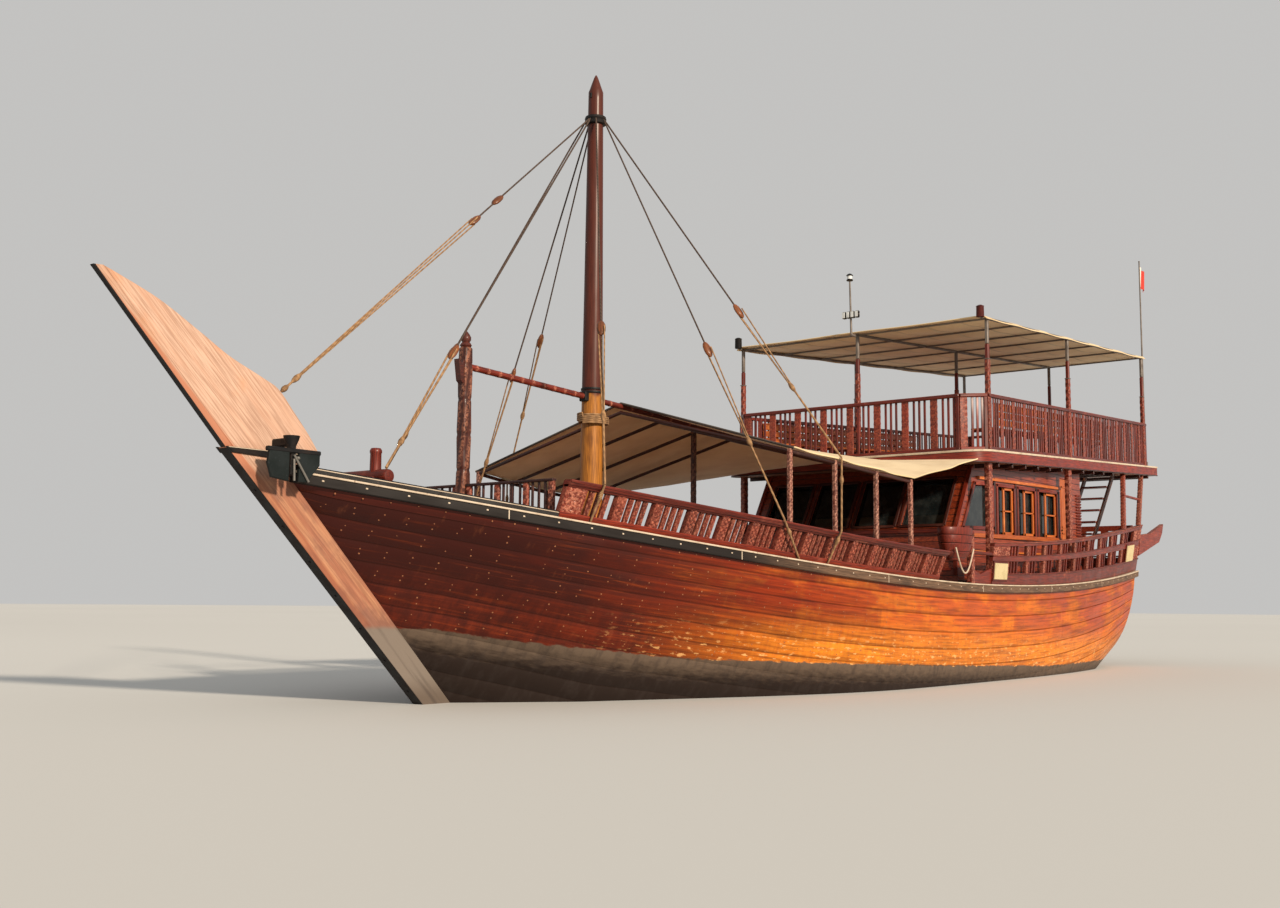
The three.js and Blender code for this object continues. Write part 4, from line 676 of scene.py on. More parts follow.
def stem_material():
    """Bare weathered timber of the stem: salmon where the sun has bleached it, orange at its front
    edge, grey-beige below the paint line."""
    add, feed = finish_of("bare_stem_timber", Coat_Weight=0.08)
    place = add("object")
    along = add("turned", place, (0, math.radians(44.5), 0))
    station, _, height = add("axes", place)
    grain = cloudy(add, along, 70, 4, 0.6, (0.035, 1, 1))
    patches = cloudy(add, along, 2.2, 4, 0.62, (0.5, 1, 1))
    broad = cloudy(add, along, 14, 3, 0.5, (0.05, 1, 1))
    behind = add("SUBTRACT", add("MULTIPLY_ADD", height, STEM_RAKE, STEM_FOOT_X), station)
    darker = layered(
        add, "#6e4030",
        (add("ramp", patches, 0.36, 0.52),
         add("blend", add("ramp", broad, 0.38, 0.62), "#a5714f", "#8a4f34")),
        (add("ramp", grain, 0.4, 0.6, 0.4, 0), "#5c3426"),
    )
    lower = add("MULTIPLY", add("ramp", height, 2.6, 2.3), 0.85)
    wet = add("ramp", add("ADD", height, add("MULTIPLY", patches, 0.1)), 0.93, 0.86)
    mottled = add("MULTIPLY", add("ramp", broad, 0.45, 0.7, 0, 0.6), wet)
    colour = layered(
        add, "#9a7864",
        (add("ramp", grain, 0.35, 0.65), "#bc9c88"), (add("ramp", broad, 0.45, 0.7, 0, 0.5), "#b88e76"),
        (add("ramp", patches, 0.52, 0.72, 0, 0.65), "#b97f58"),
        (add("ramp", behind, 0.13, 0.09, 0, 0.8), "#a9684a"),
        (lower, darker), (wet, "#6c6259"), (add("ramp", height, 0.35, 0.05), "#55493f"), (mottled, "#3a302a"),
    )
    return feed(Base_Color=colour, Roughness=add("ramp", grain, 0.3, 0.7, 0.6, 0.8),
                Normal=add("bump", grain, 0.002, 0.7))


def boards(name, base, dark, groove_tone, pitch, axis, groove, waves, stretch, bump, **values):
    """Boards laid side by side along the boat: one tone to each, and a dark groove between them."""
    add, feed = finish_of(name, **values)
    place = add("object")
    row = add("DIVIDE", add("axes", place)[axis], pitch)
    tone = add("chance", add("FLOOR", row))
    between = add("ramp", add("PINGPONG", row, 0.5), *groove)
    grain = cloudy(add, place, waves, 4, 0.6, stretch)
    return feed(
        Base_Color=layered(add, dark[0], (add("ramp", grain, 0.35, 0.65), base),
                           (add("ramp", tone, 0, 1, 0, 0.5), dark[1]), (between, groove_tone)),
        Normal=add("bump", add("SUBTRACT", grain, add("MULTIPLY", between, 3.0)), *bump))


def placed_wood(name, first, second, dark, axis, low, high, rough=0.5, coat=0.2):
    """Wood whose finish changes from one place on the boat to another along one axis."""
    add, feed = finish_of(name, Coat_Weight=coat, Coat_Roughness=0.25, Specular_IOR_Level=0.2)
    value = add("axes", add("object"))[axis]
    grain = add("grain")
    patches = cloudy(add, grain, 5.0, 3, 0.6, (0.3, 1, 1))
    fibres = cloudy(add, grain, 110, 4, 0.6, (0.035, 1, 1))
    edge = add("ADD", value, add("MULTIPLY_ADD", patches, 0.2, -0.1))
    return feed(
        Base_Color=layered(add, first, (add("ramp", edge, low, high), second),
                           (add("ramp", fibres, 0.35, 0.68, 0.6, 0), dark),
                           (add("ramp", patches, 0.3, 0.5, 0.5, 0), dark)),
        Roughness=add("ramp", patches, 0.3, 0.8, rough, min(rough + 0.25, 1)),
        Normal=add("bump", fibres, 0.0012, 0.6))


# The hull's planks are oiled and worn, the stem is bare and bleached, and the decks are scrubbed pale
PLANKING = hull_material()
STEM_TIMBER = stem_material()
# Bare teak in boards 110 mm wide with dark caulking between them
DECK_TEAK = boards("scrubbed_teak_deck", "#a1704e", ("#7b4a30", "#6b3c26"), "#1f1512", 0.11, 1,
                   (0.045, 0.02), 80, (0.04, 1, 1), (0.002, 0.6), Roughness=0.75)
# Varnished boards 110 mm high with a shallow groove between them: warm and glossy
WALL_TEAK = boards("varnished_wall_boards", "#9a4220", ("#5a1c0e", "#5a1c0e"), "#1c0a07", 0.11, 2,
                   (0.07, 0.03), 90, (0.04, 0.2, 1), (0.003, 0.7), Coat_Weight=0.3, Coat_Roughness=0.25,
                   Roughness=0.42)
# Varnished, oiled and carved teak: red-brown with a soft gloss, paler where weather and hands wear it
RED_TEAK = wood("varnished_red_teak", "#8c2f19", "#50150b", "#a8604a")
DARK_TEAK = wood("dark_varnished_teak", "#4a1b12", "#26100c", "#8a5a46")
PALE_CARVING = wood("worn_carved_teak", "#7c2816", "#46140b", "#b0705a", rough=0.5, coat=0.15, chips=0.05)
RAIL_BOARD = wood("oiled_rail_board", "#7a2412", "#421009", "#9c4e36", rough=0.42, coat=0.2)
ORANGE_WOOD = wood("golden_varnished_wood", "#c8702c", "#9a4a1c", "#e0a468", rough=0.4)
DARK_RED_TEAK = wood("carved_dark_red_teak", "#5c2417", "#30110b", "#a06a52", rough=0.5)
BARE_CARVING = wood("bare_carved_teak", "#7a2a1a", "#42140c", "#a8604a", rough=0.5, coat=0.15, chips=0.04)
POST_TEAK = wood("chipped_post_teak", "#70281a", "#3a120c", "#c08c76", rough=0.5, coat=0.15, chips=0.14)
PALE_RAIL = wood("sun_bleached_rail", "#9c5844", "#6a2e22", "#c8927c", rough=0.6, coat=0.1, chips=0.15)
RAIL_RED = wood("oiled_red_rail", "#822613", "#44110a", "#9a4c3a", rough=0.4)
FASCIA_TEAK = wood("weathered_fascia", "#942e18", "#56180c", "#a8563e", rough=0.42, chips=0.03)
BRONZE_EDGE = wood("worn_tread_edge", "#5e4028", "#3a2416", "#8a6440", rough=0.5)
BLOCK_WOOD = wood("scraped_block_wood", "#8a4c22", "#4e2a12", "#c08850", rough=0.5)
# Poles and rails whose finish changes along them: oiled or pale at one end, tarred dark at the other
MAST_TIMBER = placed_wood("oiled_mast_pole", "#a86c26", "#4e2013", "#35130b", 2, 3.86, 3.93)
RUB_TIMBER = placed_wood("tarred_rub_rail", "#6e5644", "#191514", "#120e0c", 0, 3.5, 5.5, 0.6, 0.05)
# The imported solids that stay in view, with their pattern on object coordinates
DOOR_WOOD = wood("golden_door_by_place", "#b8632c", "#8a4018", "#dba26a", attribute=False, axis=2)
CAD_RED = wood("red_teak_by_place", "#8a3722", "#541a10", "#b87a62", attribute=False)
BOTTOM_WOOD = painted("bottom_paint_on_wood", "#3a2f2b", "#5c4f48", 0.8, attribute=False)
# Cotton canvas: matt and cream on top, with faint stains; the underside paler and warmer, painted light
# thrown up from below; the front hem dark, painted shade; the flag is a thin plain weave
CANVAS = cloth("sun_faded_canvas", "#d8c39c", "#b89e74")
PAINTED_SHADE_HEM = cloth("front_hem_painted_shade", "#3a2f28", "#241c18")
CANVAS_UNDER_PAINTED_BOUNCE = cloth("canvas_underside_painted_bounce_light", "#ecd2a4", "#cbaa78")
BUNTING = cloth("red_bunting", "#b8352a", "#8c2219", 3.0)
BUNTING_WHITE = cloth("white_bunting", "#d8d2c8", "#b8b0a4", 3.0)
# Painted and bare iron, painted boards, lamps and putty: an even coat, grimy in patches and chipped
GREY_PIPE = painted("grey_painted_pipe", "#6f6863", "#4a423d", 0.45, 0.3)
BLACK_IRON = painted("black_painted_iron", "#0e0e10", "#2c211c", 0.5, 0.1)
TEAL_IRON = painted("dark_green_painted_iron", "#0a1313", "#20272a", 0.5, 0.1)
WORN_IRON = painted("worn_galvanised_iron", "#6a6864", "#48433d", 0.5, 0.4)
WHITE_EDGE = painted("white_painted_edge", "#b9ab98", "#7d6552", 0.6)
PALE_BOARD = painted("cream_painted_board", "#b8aa84", "#8e7e5a", 0.6)
LAMP_RED = painted("dark_red_lamp", "#3a0d0c", "#5c2018", 0.35)
LAMP_GLASS = painted("frosted_lamp_glass", "#c9ced0", "#8f9698", 0.25)
PUTTY = painted("ochre_nail_putty", "#7e5038", "#a67650", 0.8)
BRONZE = painted("cast_bronze", "#8c6a34", "#5c4a2c", 0.35, 1.0, attribute=False)
# Laid hemp rope, matt and straw-brown, and wire served with dark tarred line
MANILA = rope_material("manila_rope", "#967450", "#5e452e")
WIRE = rope_material("served_wire", "#4a3a30", "#241a16", 14.0)
GLASS = glass_material()


# Camera, floor and light

CAMERA_PLACE = (18.877, 11.518, 1.125)
CAMERA_TURNS = (-2.4772, 0.1108, 0.0085)
SENSOR_WIDTH = 36
FOCAL_PIXELS = 1361.1
FRAME_PIXELS = 1280
FLOOR_REACH = 400
SKY_STRENGTH = 0.72
SUN_STRENGTH = 5.6
SUN_TOWARD = (0.28, 1.0, 0.42)


def make_camera():
    """Camera at the photograph's place: yaw, then pitch, then roll, with a 36 mm wide sensor."""
    yaw, pitch, roll = CAMERA_TURNS
    forward = Vector((math.cos(pitch) * math.cos(yaw), math.cos(pitch) * math.sin(yaw), math.sin(pitch)))
    right = Vector((math.sin(yaw), -math.cos(yaw), 0))
    up = right.cross(forward)
    level_right = right * math.cos(roll) + up * math.sin(roll)
    level_up = up * math.cos(roll) - right * math.sin(roll)
    data = bpy.data.cameras.new("camera")
    data.sensor_width = SENSOR_WIDTH
    data.lens = FOCAL_PIXELS * SENSOR_WIDTH / FRAME_PIXELS
    data.clip_end = 1000
    camera = bpy.data.objects.new("camera", data)
    axes = Matrix((level_right, level_up, -forward)).transposed().to_4x4()
    camera.matrix_world = Matrix.Translation(CAMERA_PLACE) @ axes
    bpy.context.scene.collection.objects.link(camera)
    bpy.context.scene.camera = camera


def make_stage():
    """Plain pale floor at the waterline, an even pale sky and one soft low sun on the port side."""
    mesh = bpy.data.meshes.new("floor")
    corners = [(FLOOR_REACH * x, FLOOR_REACH * y, 0) for x, y in ((-1, -1), (1, -1), (1, 1), (-1, 1))]
    mesh.from_pydata(corners, [], [(0, 1, 2, 3)])
    add, feed = finish_of("pale_floor", Roughness=0.9)
    soft = cloudy(add, add("object"), 0.02, 2, 0.5)
    mesh.materials.append(feed(Base_Color=add("blend", soft, "#b9bab8", "#c4c5c3")))
    floor = bpy.data.objects.new("floor", mesh)
    bpy.context.scene.collection.objects.link(floor)
    world = bpy.data.worlds.new("sky")
    world.use_nodes = True
    for socket, value in zip(world.node_tree.nodes["Background"].inputs, ("#e2e1df", SKY_STRENGTH)):
        give(socket, value)
    bpy.context.scene.world = world
    sun = bpy.data.lights.new("sun", "SUN")
    sun.energy = SUN_STRENGTH
    sun.angle = math.radians(4)
    sun.color = (1.0, 0.84, 0.66)
    lamp = bpy.data.objects.new("sun", sun)
    toward = Vector(SUN_TOWARD).normalized()
    lamp.rotation_euler = toward.to_track_quat("Z", "Y").to_euler()
    bpy.context.scene.collection.objects.link(lamp)
    bpy.context.scene.view_settings.view_transform = "Standard"
    bpy.context.scene.view_settings.look = "None"
    bpy.context.scene.view_settings.exposure = 0.0


make_camera()
make_stage()


# Hull

def paint_line(x):
    """Height of the bottom paint's edge, high at the bow and low aft."""
    return np.interp(x, [-9.3, -3.75, 0.5, 4.2, 5.65, 7.43, 8.34], [0.17, 0.17, 0.3, 0.44, 0.5, 0.7, 0.85])


def hull_stations():
    """Even stations in three runs: foredeck, waist and the raking stern."""
    fore = np.linspace(PLANK_END_X, FOREDECK_BREAK_X, 36)
    middle = np.linspace(FOREDECK_BREAK_X - 0.02, RAKE_X, 120)
    aft = np.linspace(RAKE_X - 0.1, STERN_X, 20)
    return np.concatenate([fore, middle, aft])


def build_hull():
    """Planking in strakes with a caulked groove between them, gunwale, inner wall and deck, as one skin."""
    x = hull_stations()
    fractions = np.array([0, 0.03, 0.5, 0.97])
    share = np.append((np.arange(STRAKES)[:, None] + fractions).ravel(), STRAKES) / STRAKES
    depth = np.append(np.tile([-0.003, 0, 0.0015, 0], STRAKES), 0)
    knots = strake_knots(x, np.tile(share, (len(x), 1)))
    least = 0.0006 * np.arange(len(share))
    run_out = knots < least
    knots = np.maximum(knots, least)
    xs, ts = np.repeat(x, len(share)), knots.ravel()
    depth = np.where(run_out, 0, depth[None]).ravel()
    outer = hull_point(xs, ts) + depth[:, None] * hull_normal(xs, ts)
    outer = outer.reshape(len(x), len(share), 3)
    outer[:, 0, 1] = STEM_HALF
    half, top = half_beam(x), sheer(x)
    wall = np.minimum(GUNWALE, 0.4 * half)
    deck = deck_z(x)
    deck_x = np.where(x <= STERN_X, transom_x(deck), x)
    inner = np.stack([
        np.stack([x, half - wall, top], -1), np.stack([deck_x, half - wall, deck], -1),
    ], axis=1)
    port = np.concatenate([outer, inner], axis=1)
    rings = np.concatenate([port, port[:, ::-1] * [1, -1, 1]], axis=1)
    form = loft(rings)
    n, k = rings.shape[:2]
    count = len(share)
    kinds = np.zeros(k, int)
    kinds[[count - 1, count, count + 2, count + 3]] = 1
    kinds[count + 1] = 2
    form.material[:(n - 1) * k] = np.tile(kinds, n - 1)
    # The transom's end is covered by level strips from one side to the other
    last = (n - 1) * k
    left = last + np.arange(count + 1)
    right = last + k - 1 - np.arange(count + 1)
    strips = np.stack([left[:-1], left[1:], right[1:], right[:-1]], -1)
    a, b, c = form.points[strips[10, :3]]
    if np.dot(np.cross(b - a, c - a), a - form.points.mean(axis=0)) < 0:
        strips = strips[:, ::-1]
    form.quads = np.concatenate([form.quads, strips])
    form.ends = [end for end in form.ends if min(end) < last]
    form.material = np.concatenate([form.material[:last], np.zeros(len(strips) + len(form.ends), int)])
    strake_number = np.concatenate([share * STRAKES, [STRAKES, STRAKES]])
    strake_number = np.tile(np.concatenate([strake_number, strake_number[::-1]]), n)
    points = form.points
    plank = np.stack([points[:, 0], strake_number, np.zeros(len(points))], -1)
    zone = np.stack([
        points[:, 0], points[:, 2] - paint_line(points[:, 0]), sheer(points[:, 0]) - points[:, 2],
    ], -1)
    piece("hull_planking", [form], [PLANKING, DARK_TEAK, DECK_TEAK], ["hull"],
          extra={"plank": plank, "zone": zone}, sharp=28)


def build_nails():
    """Putty over the nail heads: two to a strake at each frame, in straight rows up the side."""
    frames = np.arange(9.75, -8.9, -FRAME_SPACING)
    strakes = np.arange(5, STRAKES)
    x, s, k = (g.ravel() for g in np.meshgrid(frames, strakes, [0, 1], indexing="ij"))
    x = x + RANDOM.normal(0, 0.01, len(x))
    share = (s + np.where(k == 0, 0.36, 0.66) + RANDOM.normal(0, 0.03, len(x))) / STRAKES
    t = strake_knots(x, share[:, None])[:, 0]
    kept = (RANDOM.random(len(x)) > 0.12) & (t > 0.3)
    x, t = x[kept], t[kept]
    centre, normal = hull_point(x, t), hull_normal(x, t)
    dry = centre[:, 2] > paint_line(centre[:, 0]) + 0.03
    centre, normal = centre[dry], normal[dry]
    centre = np.concatenate([centre, centre * [1, -1, 1]])
    normal = np.concatenate([normal, normal * [1, -1, 1]])
    side = np.cross(normal, [0, 0, 1.0])
    side /= np.linalg.norm(side, axis=1, keepdims=True)
    up = np.cross(side, normal)
    sides = 6
    angle = np.linspace(0, 2 * np.pi, sides, endpoint=False)
    size = RANDOM.uniform(0.6, 1.15, len(centre))[:, None, None]
    rings = []
    for radius, lift in ((0.011, -0.003), (0.0095, 0.002), (0.004, 0.003)):
        around = np.cos(angle)[None, :, None] * side[:, None] + np.sin(angle)[None, :, None] * up[:, None]
        rings.append(centre[:, None] + radius * size * around + lift * normal[:, None])
    points = np.stack(rings, axis=1)
    count = len(points)
    index = np.arange(count * 3 * sides).reshape(count, 3, sides)
    following = np.roll(index, -1, axis=2)
    quads = np.stack([index[:, :-1], following[:, :-1], following[:, 1:], index[:, 1:]], -1).reshape(-1, 4)
    ends = np.concatenate([index[:, 0, ::-1], index[:, 2]]).tolist()
    form = outward(Form(points.reshape(-1, 3), quads, ends))
    piece("hull_nail_putty", [form], [PUTTY])


build_hull()
build_nails()

# Lines of the upper works

AFT_START_X = -0.96
AFT_BAYS = 9
AFT_LEAN = 0.1
FORE_START_X = 7.64
FORE_END_X = 0.9
FORE_BAYS = 14
FORE_LEAN = 0.42
FORE_TOP = 0.415
HEAD_HALF = 0.06
STEM_TOP_Z = 2.65
STEM_TIP = (12.36, 4.2)
SPAR_RADIUS = 0.042
AWNING_XS = (4.6, 3.74, 2.835, 1.96)
AWNING_ZS = (3.07, 2.995, 2.93, 2.88)
CENTRE_POST_X = 2.905
BAND_Z = 7.65
MAST_RADIUS = 0.158
MAST_TAPER = 0.058
GAP = 0.0006
SEAT = 0.0003


def deck_top(x):
    """Height of the upper deck: it rises aft in a straight line."""
    return DECK_FRONT_Z + DECK_RISE * (DECK_FRONT_X - x)


def deck_half(x):
    """Half width of the upper deck: it narrows aft in a straight line."""
    return DECK_HALF - 0.39 * (x - DECK_FRONT_X) / (DECK_AFT_X - DECK_FRONT_X)


def rail_half(x):
    """Half width between the upper rails."""
    return deck_half(x) - 0.06


def canopy_z(x):
    """Height of the canopy's pipes: they rise aft in a straight line."""
    return CANOPY_FRONT_Z + CANOPY_RISE * (CANOPY_XS[0] - x)


def ridge_z(x):
    """Height of the awning's ridge pole: a straight line from the upper deck to the mast."""
    return 3.56 + 0.28 * (x - DECK_FRONT_X) / (MAST_X - DECK_FRONT_X)


def spar_z(x):
    """Height of the spar: a straight line from the mast to the bow post."""
    return 3.855 + 0.09 * (x - MAST_X) / (BOW_POST_X - MAST_X)


def mast_radius(z):
    """Radius of the mast: it tapers in a straight line from foot to head."""
    return MAST_RADIUS - MAST_TAPER * (z - 1.7) / 6.35


def awning_post_y(x):
    """Distance out of an awning post: on the fore bulwark's leaning top rail."""
    return half_beam(np.asarray(x, float)) + FORE_LEAN * FORE_TOP - 0.015


def aft_top(x):
    """Height of the aft bulwark above the sheer: it rises aft in a straight line."""
    return 0.64 + 0.0375 * (AFT_START_X - x)


def share(part):
    """Height above the sheer of a share of the aft bulwark, as a function of the station."""
    def height(x):
        return part * aft_top(x)
    return height


def gate_top(x):
    """Height of the gangway's low board above the sheer: two straight slopes from its dip."""
    return 0.15 + 0.25 * abs(x + 0.56)


def stem_front(z):
    """Station of the stem's front face: it rakes forward in a straight line as it rises."""
    return STEM_FOOT_X + STEM_RAKE * z


def head_front(z):
    """Station of the plank head's front edge: a straight line from the stem to its tip."""
    low = stem_front(STEM_TOP_Z)
    return low + (STEM_TIP[0] - low) * (z - STEM_TOP_Z) / (STEM_TIP[1] - STEM_TOP_Z)


# Stem

def build_stem_head():
    """Plank head: a board cut to a smooth back edge, with a bevelled nosing and a black strip in front."""
    back = np.array([
        (12.18, 4.17), (11.69, 3.99), (11.21, 3.74), (10.88, 3.56), (10.47, 3.395), (10.27, 3.3),
        (10.08, 3.1), (9.88, 2.88), (9.74, 2.7),
    ])
    curve = curve_weights(np.linspace(0, len(back) - 1, 50), len(back)) @ back
    nose = 0.085
    low, top = STEM_TOP_Z + 2 * GAP, STEM_TIP[1]
    seat = [(x, at(deck_z, x) + 0.001) for x in (9.71, 9.95)]
    seat += [(PLANK_END_X - 0.06, 2.468), (PLANK_END_X, 2.4762), (PLANK_END_X + 0.12, 2.6262)]
    outline = [(head_front(low) - nose, low), (head_front(top) - nose, top), *curve, *seat]
    head = plate(outline, -HEAD_HALF, HEAD_HALF, chamfer=0.007)
    z = np.linspace(low, top, 30)
    front = head_front(z)
    bevel = np.stack([
        np.stack([front - nose, np.full_like(z, HEAD_HALF), z], -1),
        np.stack([front - nose, np.full_like(z, -HEAD_HALF), z], -1),
        np.stack([front - 0.012, np.full_like(z, -0.03), z], -1),
        np.stack([front - 0.012, np.full_like(z, 0.03), z], -1),
    ], axis=1)
    strip = bevel.copy()
    strip[:, :2, 0] = (front - 0.016)[:, None]
    strip[:, 2:, 0] = front[:, None]
    strip[:, :, 1] = np.array([0.036, -0.036, -0.03, 0.03])
    piece("stem_head_planks", [head, loft(bevel), loft(strip, material=1)], [STEM_TIMBER, BLACK_IRON],
          ["stem_head"])


def build_stem_strip():
    """Black iron band down the stem's front face, with its bolts."""
    heights = np.linspace(-1.1, STEM_TOP_Z - 0.01, 2)
    ends = [np.array([stem_front(z) + 0.004, 0, z]) for z in heights]
    forms = [bar(ends[0], ends[1], 0.15, 0.008, up=(-1, 0, STEM_RAKE), chamfer=0.002)]
    for z in np.arange(-0.9, STEM_TOP_Z - 0.1, 0.35):
        spot = np.array([stem_front(z), 0, z])
        ahead = np.array([1, 0, -STEM_RAKE]) / math.hypot(1, STEM_RAKE)
        forms.append(rod(spot + 0.006 * ahead, spot + 0.014 * ahead, 0.014, 8))
    cap = [(9.98, 2.655), (stem_front(2.655) + 0.008, 2.655), (stem_front(2.6) + 0.008, 2.6), (9.98, 2.57)]
    for low, high in ((HEAD_HALF + 0.001, 0.105), (-0.105, -HEAD_HALF - 0.001)):
        forms.append(plate(cap, low, high, chamfer=0.006))
    for side in (1, -1):
        forms.append(rod((10.0, side * 0.107, 2.648), (stem_front(2.65), side * 0.107, 2.648), 0.004, 8,
                         material=1))
    piece("stem_band_and_cap", forms, [BLACK_IRON, WHITE_EDGE])


# Along the gunwale

def build_rub_rail(name, side):
    """Rub rail: a square timber, a pale capping strip along its top and pale plugs along its side."""
    timber, capping = (-0.125, -0.02, 0.003, 0.07, 0.01, 0), (-0.02, 0, 0.003, 0.08, 0.004, 1)
    plug, joint = (-0.07, -0.054, 0.066, 0.0735, 0.002, 1), (-0.121, -0.024, 0.066, 0.072, 0.002, 1)
    forms = rails(side, PLANK_END_X, STERN_X, 0, 180, timber, capping)
    for x in np.arange(9.9, STERN_X + 0.1, -PLUG_SPACING):
        forms += rails(side, x, x - 0.018, 0, 2, plug)
    for x in np.arange(8.2, STERN_X + 0.3, -2.9):
        forms += rails(side, x, x - 0.01, 0, 2, joint)
    piece(f"rub_rail_timber_{name}", forms, [RUB_TIMBER, WHITE_EDGE], [f"rub_rail_{name}"])


def build_bow_cap(name, side):
    """Bow cap: a black painted board with one fine pale line."""
    x0, x1 = PLANK_END_X - 0.06, FORE_START_X + 0.001
    board, line = (SEAT, 0.075, -0.06, 0.025, 0.012, 0), (0.05, 0.06, 0.02, 0.03, 0.003, 1)
    forms = rails(side, x0, x1, 0, 30, board, line)
    piece(f"bow_cap_board_{name}", forms, [BLACK_IRON, WHITE_EDGE], [f"bow_cap_{name}"])


def carved_panel(side, x0, x1, limits, near, far, lean, carve, rows=(9, 22), **options):
    """Board on the gunwale whose outer face is pushed in and out by carve(distance along, height up)."""
    x = np.linspace(x0, x1, rows[0])
    low, top = (np.array([h(v) if callable(h) else h for v in x])[:, None] for h in limits)
    high = low + (top - low) * np.linspace(0, 1, rows[1])[None]
    depth = carve(np.abs(x - x0)[:, None] * np.ones_like(high), high - low)
    depth[0] = depth[-1] = depth[:, 0] = depth[:, -1] = 0
    back = np.full((len(x), 2), near)
    across = np.concatenate([far + depth, back], axis=1)
    height = np.concatenate([high, top, low], axis=1)
    reach = np.abs(depth).max() + 1e-6
    wear = np.concatenate([np.clip(0.55 + depth / reach, 0, 1), np.zeros_like(back)], axis=1)
    return on_gunwale(side, x, across, height, lean, wear=wear, **options)


def lozenges(pitch, depth):
    """Chip carving in crossed rows: the product of two slanting waves."""
    def carve(u, v):
        return depth * (np.abs(np.sin(np.pi * (u + v) / pitch) * np.sin(np.pi * (u - v) / pitch)) * 2 - 0.8)
    return carve


def winding_groove(width, depth):
    """A groove that winds up the middle of a slat, with a rounded foot and head."""
    def carve(u, v):
        off = u - width / 2 - 0.2 * width * np.sin(2 * np.pi * v / 0.09)
        return -depth * np.exp(-(off / (0.14 * width)) ** 2)
    return carve


def scrolls(pitch, depth):
    """Leafy scrolls: waves whose place is bent by other waves."""
    def carve(u, v):
        bent = u / pitch + 0.35 * np.sin(2 * np.pi * v / pitch)
        other = v / pitch + 0.3 * np.sin(2 * np.pi * u / (1.3 * pitch))
        return depth * np.sin(2 * np.pi * bent) * np.cos(2 * np.pi * other)
    return carve


def build_fore_bulwark(name, side):
    """Fourteen bays, each a carved post, three carved slats and a gap, between two moulded rails."""
    start, end, lean = FORE_START_X, FORE_END_X, FORE_LEAN
    limits = (0.06, FORE_TOP - 0.05)
    forms = rails(
        side, start, end, lean, 70,
        (SEAT, 0.07, -0.11, 0.02, 0.008, 0),
        (FORE_TOP - 0.06, FORE_TOP, -0.075, 0.045, 0.012, 0),
        (FORE_TOP - 0.035, FORE_TOP - 0.024, 0.04, 0.052, 0.003, 1),
        (FORE_TOP - 0.078, FORE_TOP - 0.058, -0.05, 0.022, 0.004, 1),
    )
    post, first_post, slat = lozenges(0.062, 0.009), scrolls(0.09, 0.008), winding_groove(0.05, 0.009)
    inner = start - 0.23
    forms.append(carved_panel(side, start, inner, limits, -0.06, 0.01, lean, first_post, (24, 30),
                              material=1))
    bay = (inner - end) / FORE_BAYS
    for k in range(1, FORE_BAYS + 1):
        x = inner - k * bay
        forms.append(carved_panel(side, x + 0.11, x, limits, -0.06, 0.01, lean, post, material=2))
        for part in (0.41, 0.6, 0.79):
            foot = x + part * bay
            forms.append(carved_panel(side, foot + 0.05, foot, limits, -0.04, -0.008, lean, slat, (7, 24),
                                      material=1))
    piece(f"fore_bulwark_{name}", forms, [RED_TEAK, PALE_CARVING, BARE_CARVING],
          [f"bulwark_fore_{name}"])


def build_aft_bulwark(name, side):
    """Low board, middle rail and top rail; nine bays of short pickets over tall ones; carved ends."""
    start, end, lean = AFT_START_X, STERN_X, AFT_LEAN
    forms = rails(
        side, start, end, lean, 90,
        (SEAT, share(0.26), -0.06, 0.01, 0.008, 0),
        (share(0.24), share(0.275), -0.06, 0.024, 0.006, 1),
        (share(0.55), share(0.68), -0.06, 0.0, 0.008, 0),
        (share(0.66), share(0.685), -0.06, 0.01, 0.004, 1),
        (share(0.91), share(0.975), -0.07, 0.01, 0.006, 0),
        (share(0.97), share(1), -0.085, 0.02, 0.008, 2),
    )
    leaves, chips = scrolls(0.12, 0.008), lozenges(0.06, 0.006)
    first_x, last_x = start - 0.65, end + 0.6
    for x0, x1 in ((start, first_x), (last_x, end)):
        for limits in ((share(0.27), share(0.55)), (share(0.69), share(0.905))):
            forms.append(carved_panel(side, x0, x1, limits, -0.055, 0, lean, leaves, (50, 22), material=1))
    lower, upper = (share(0.26), share(0.555)), (share(0.67), share(0.915))
    bay = (first_x - last_x) / AFT_BAYS
    for k in range(1, AFT_BAYS + 1):
        x = first_x - k * bay
        if k < AFT_BAYS:
            forms += [carved_panel(side, x + 0.05, x - 0.05, limits, -0.055, -0.004, lean, chips, (7, 14),
                                   material=1)
                      for limits in (lower, upper)]
        for step in (0.5, 0.66, 0.82):
            foot = x + step * bay
            short, tall = (*lower, -0.045, -0.015, 0.005, 1), (*upper, -0.045, -0.015, 0.005, 0)
            forms += rails(side, foot + 0.04, foot, lean, 2, short, tall)
    for x0, x1, low, high in ((-1.0, -1.5, 0.08, 0.33), (-8.2, -8.75, 0.24, 0.56)):
        forms += rails(side, x0, x1, lean, 6, (low, high, 0.012, 0.03, 0.005, 3))
        forms += rails(side, x0 + 0.03, x1 - 0.03, lean, 6, (low - 0.03, high + 0.03, 0.002, 0.02, 0.005, 1))
    piece(f"aft_bulwark_{name}", forms, [RED_TEAK, PALE_CARVING, PALE_RAIL, PALE_BOARD],
          [f"bulwark_aft_{name}"])


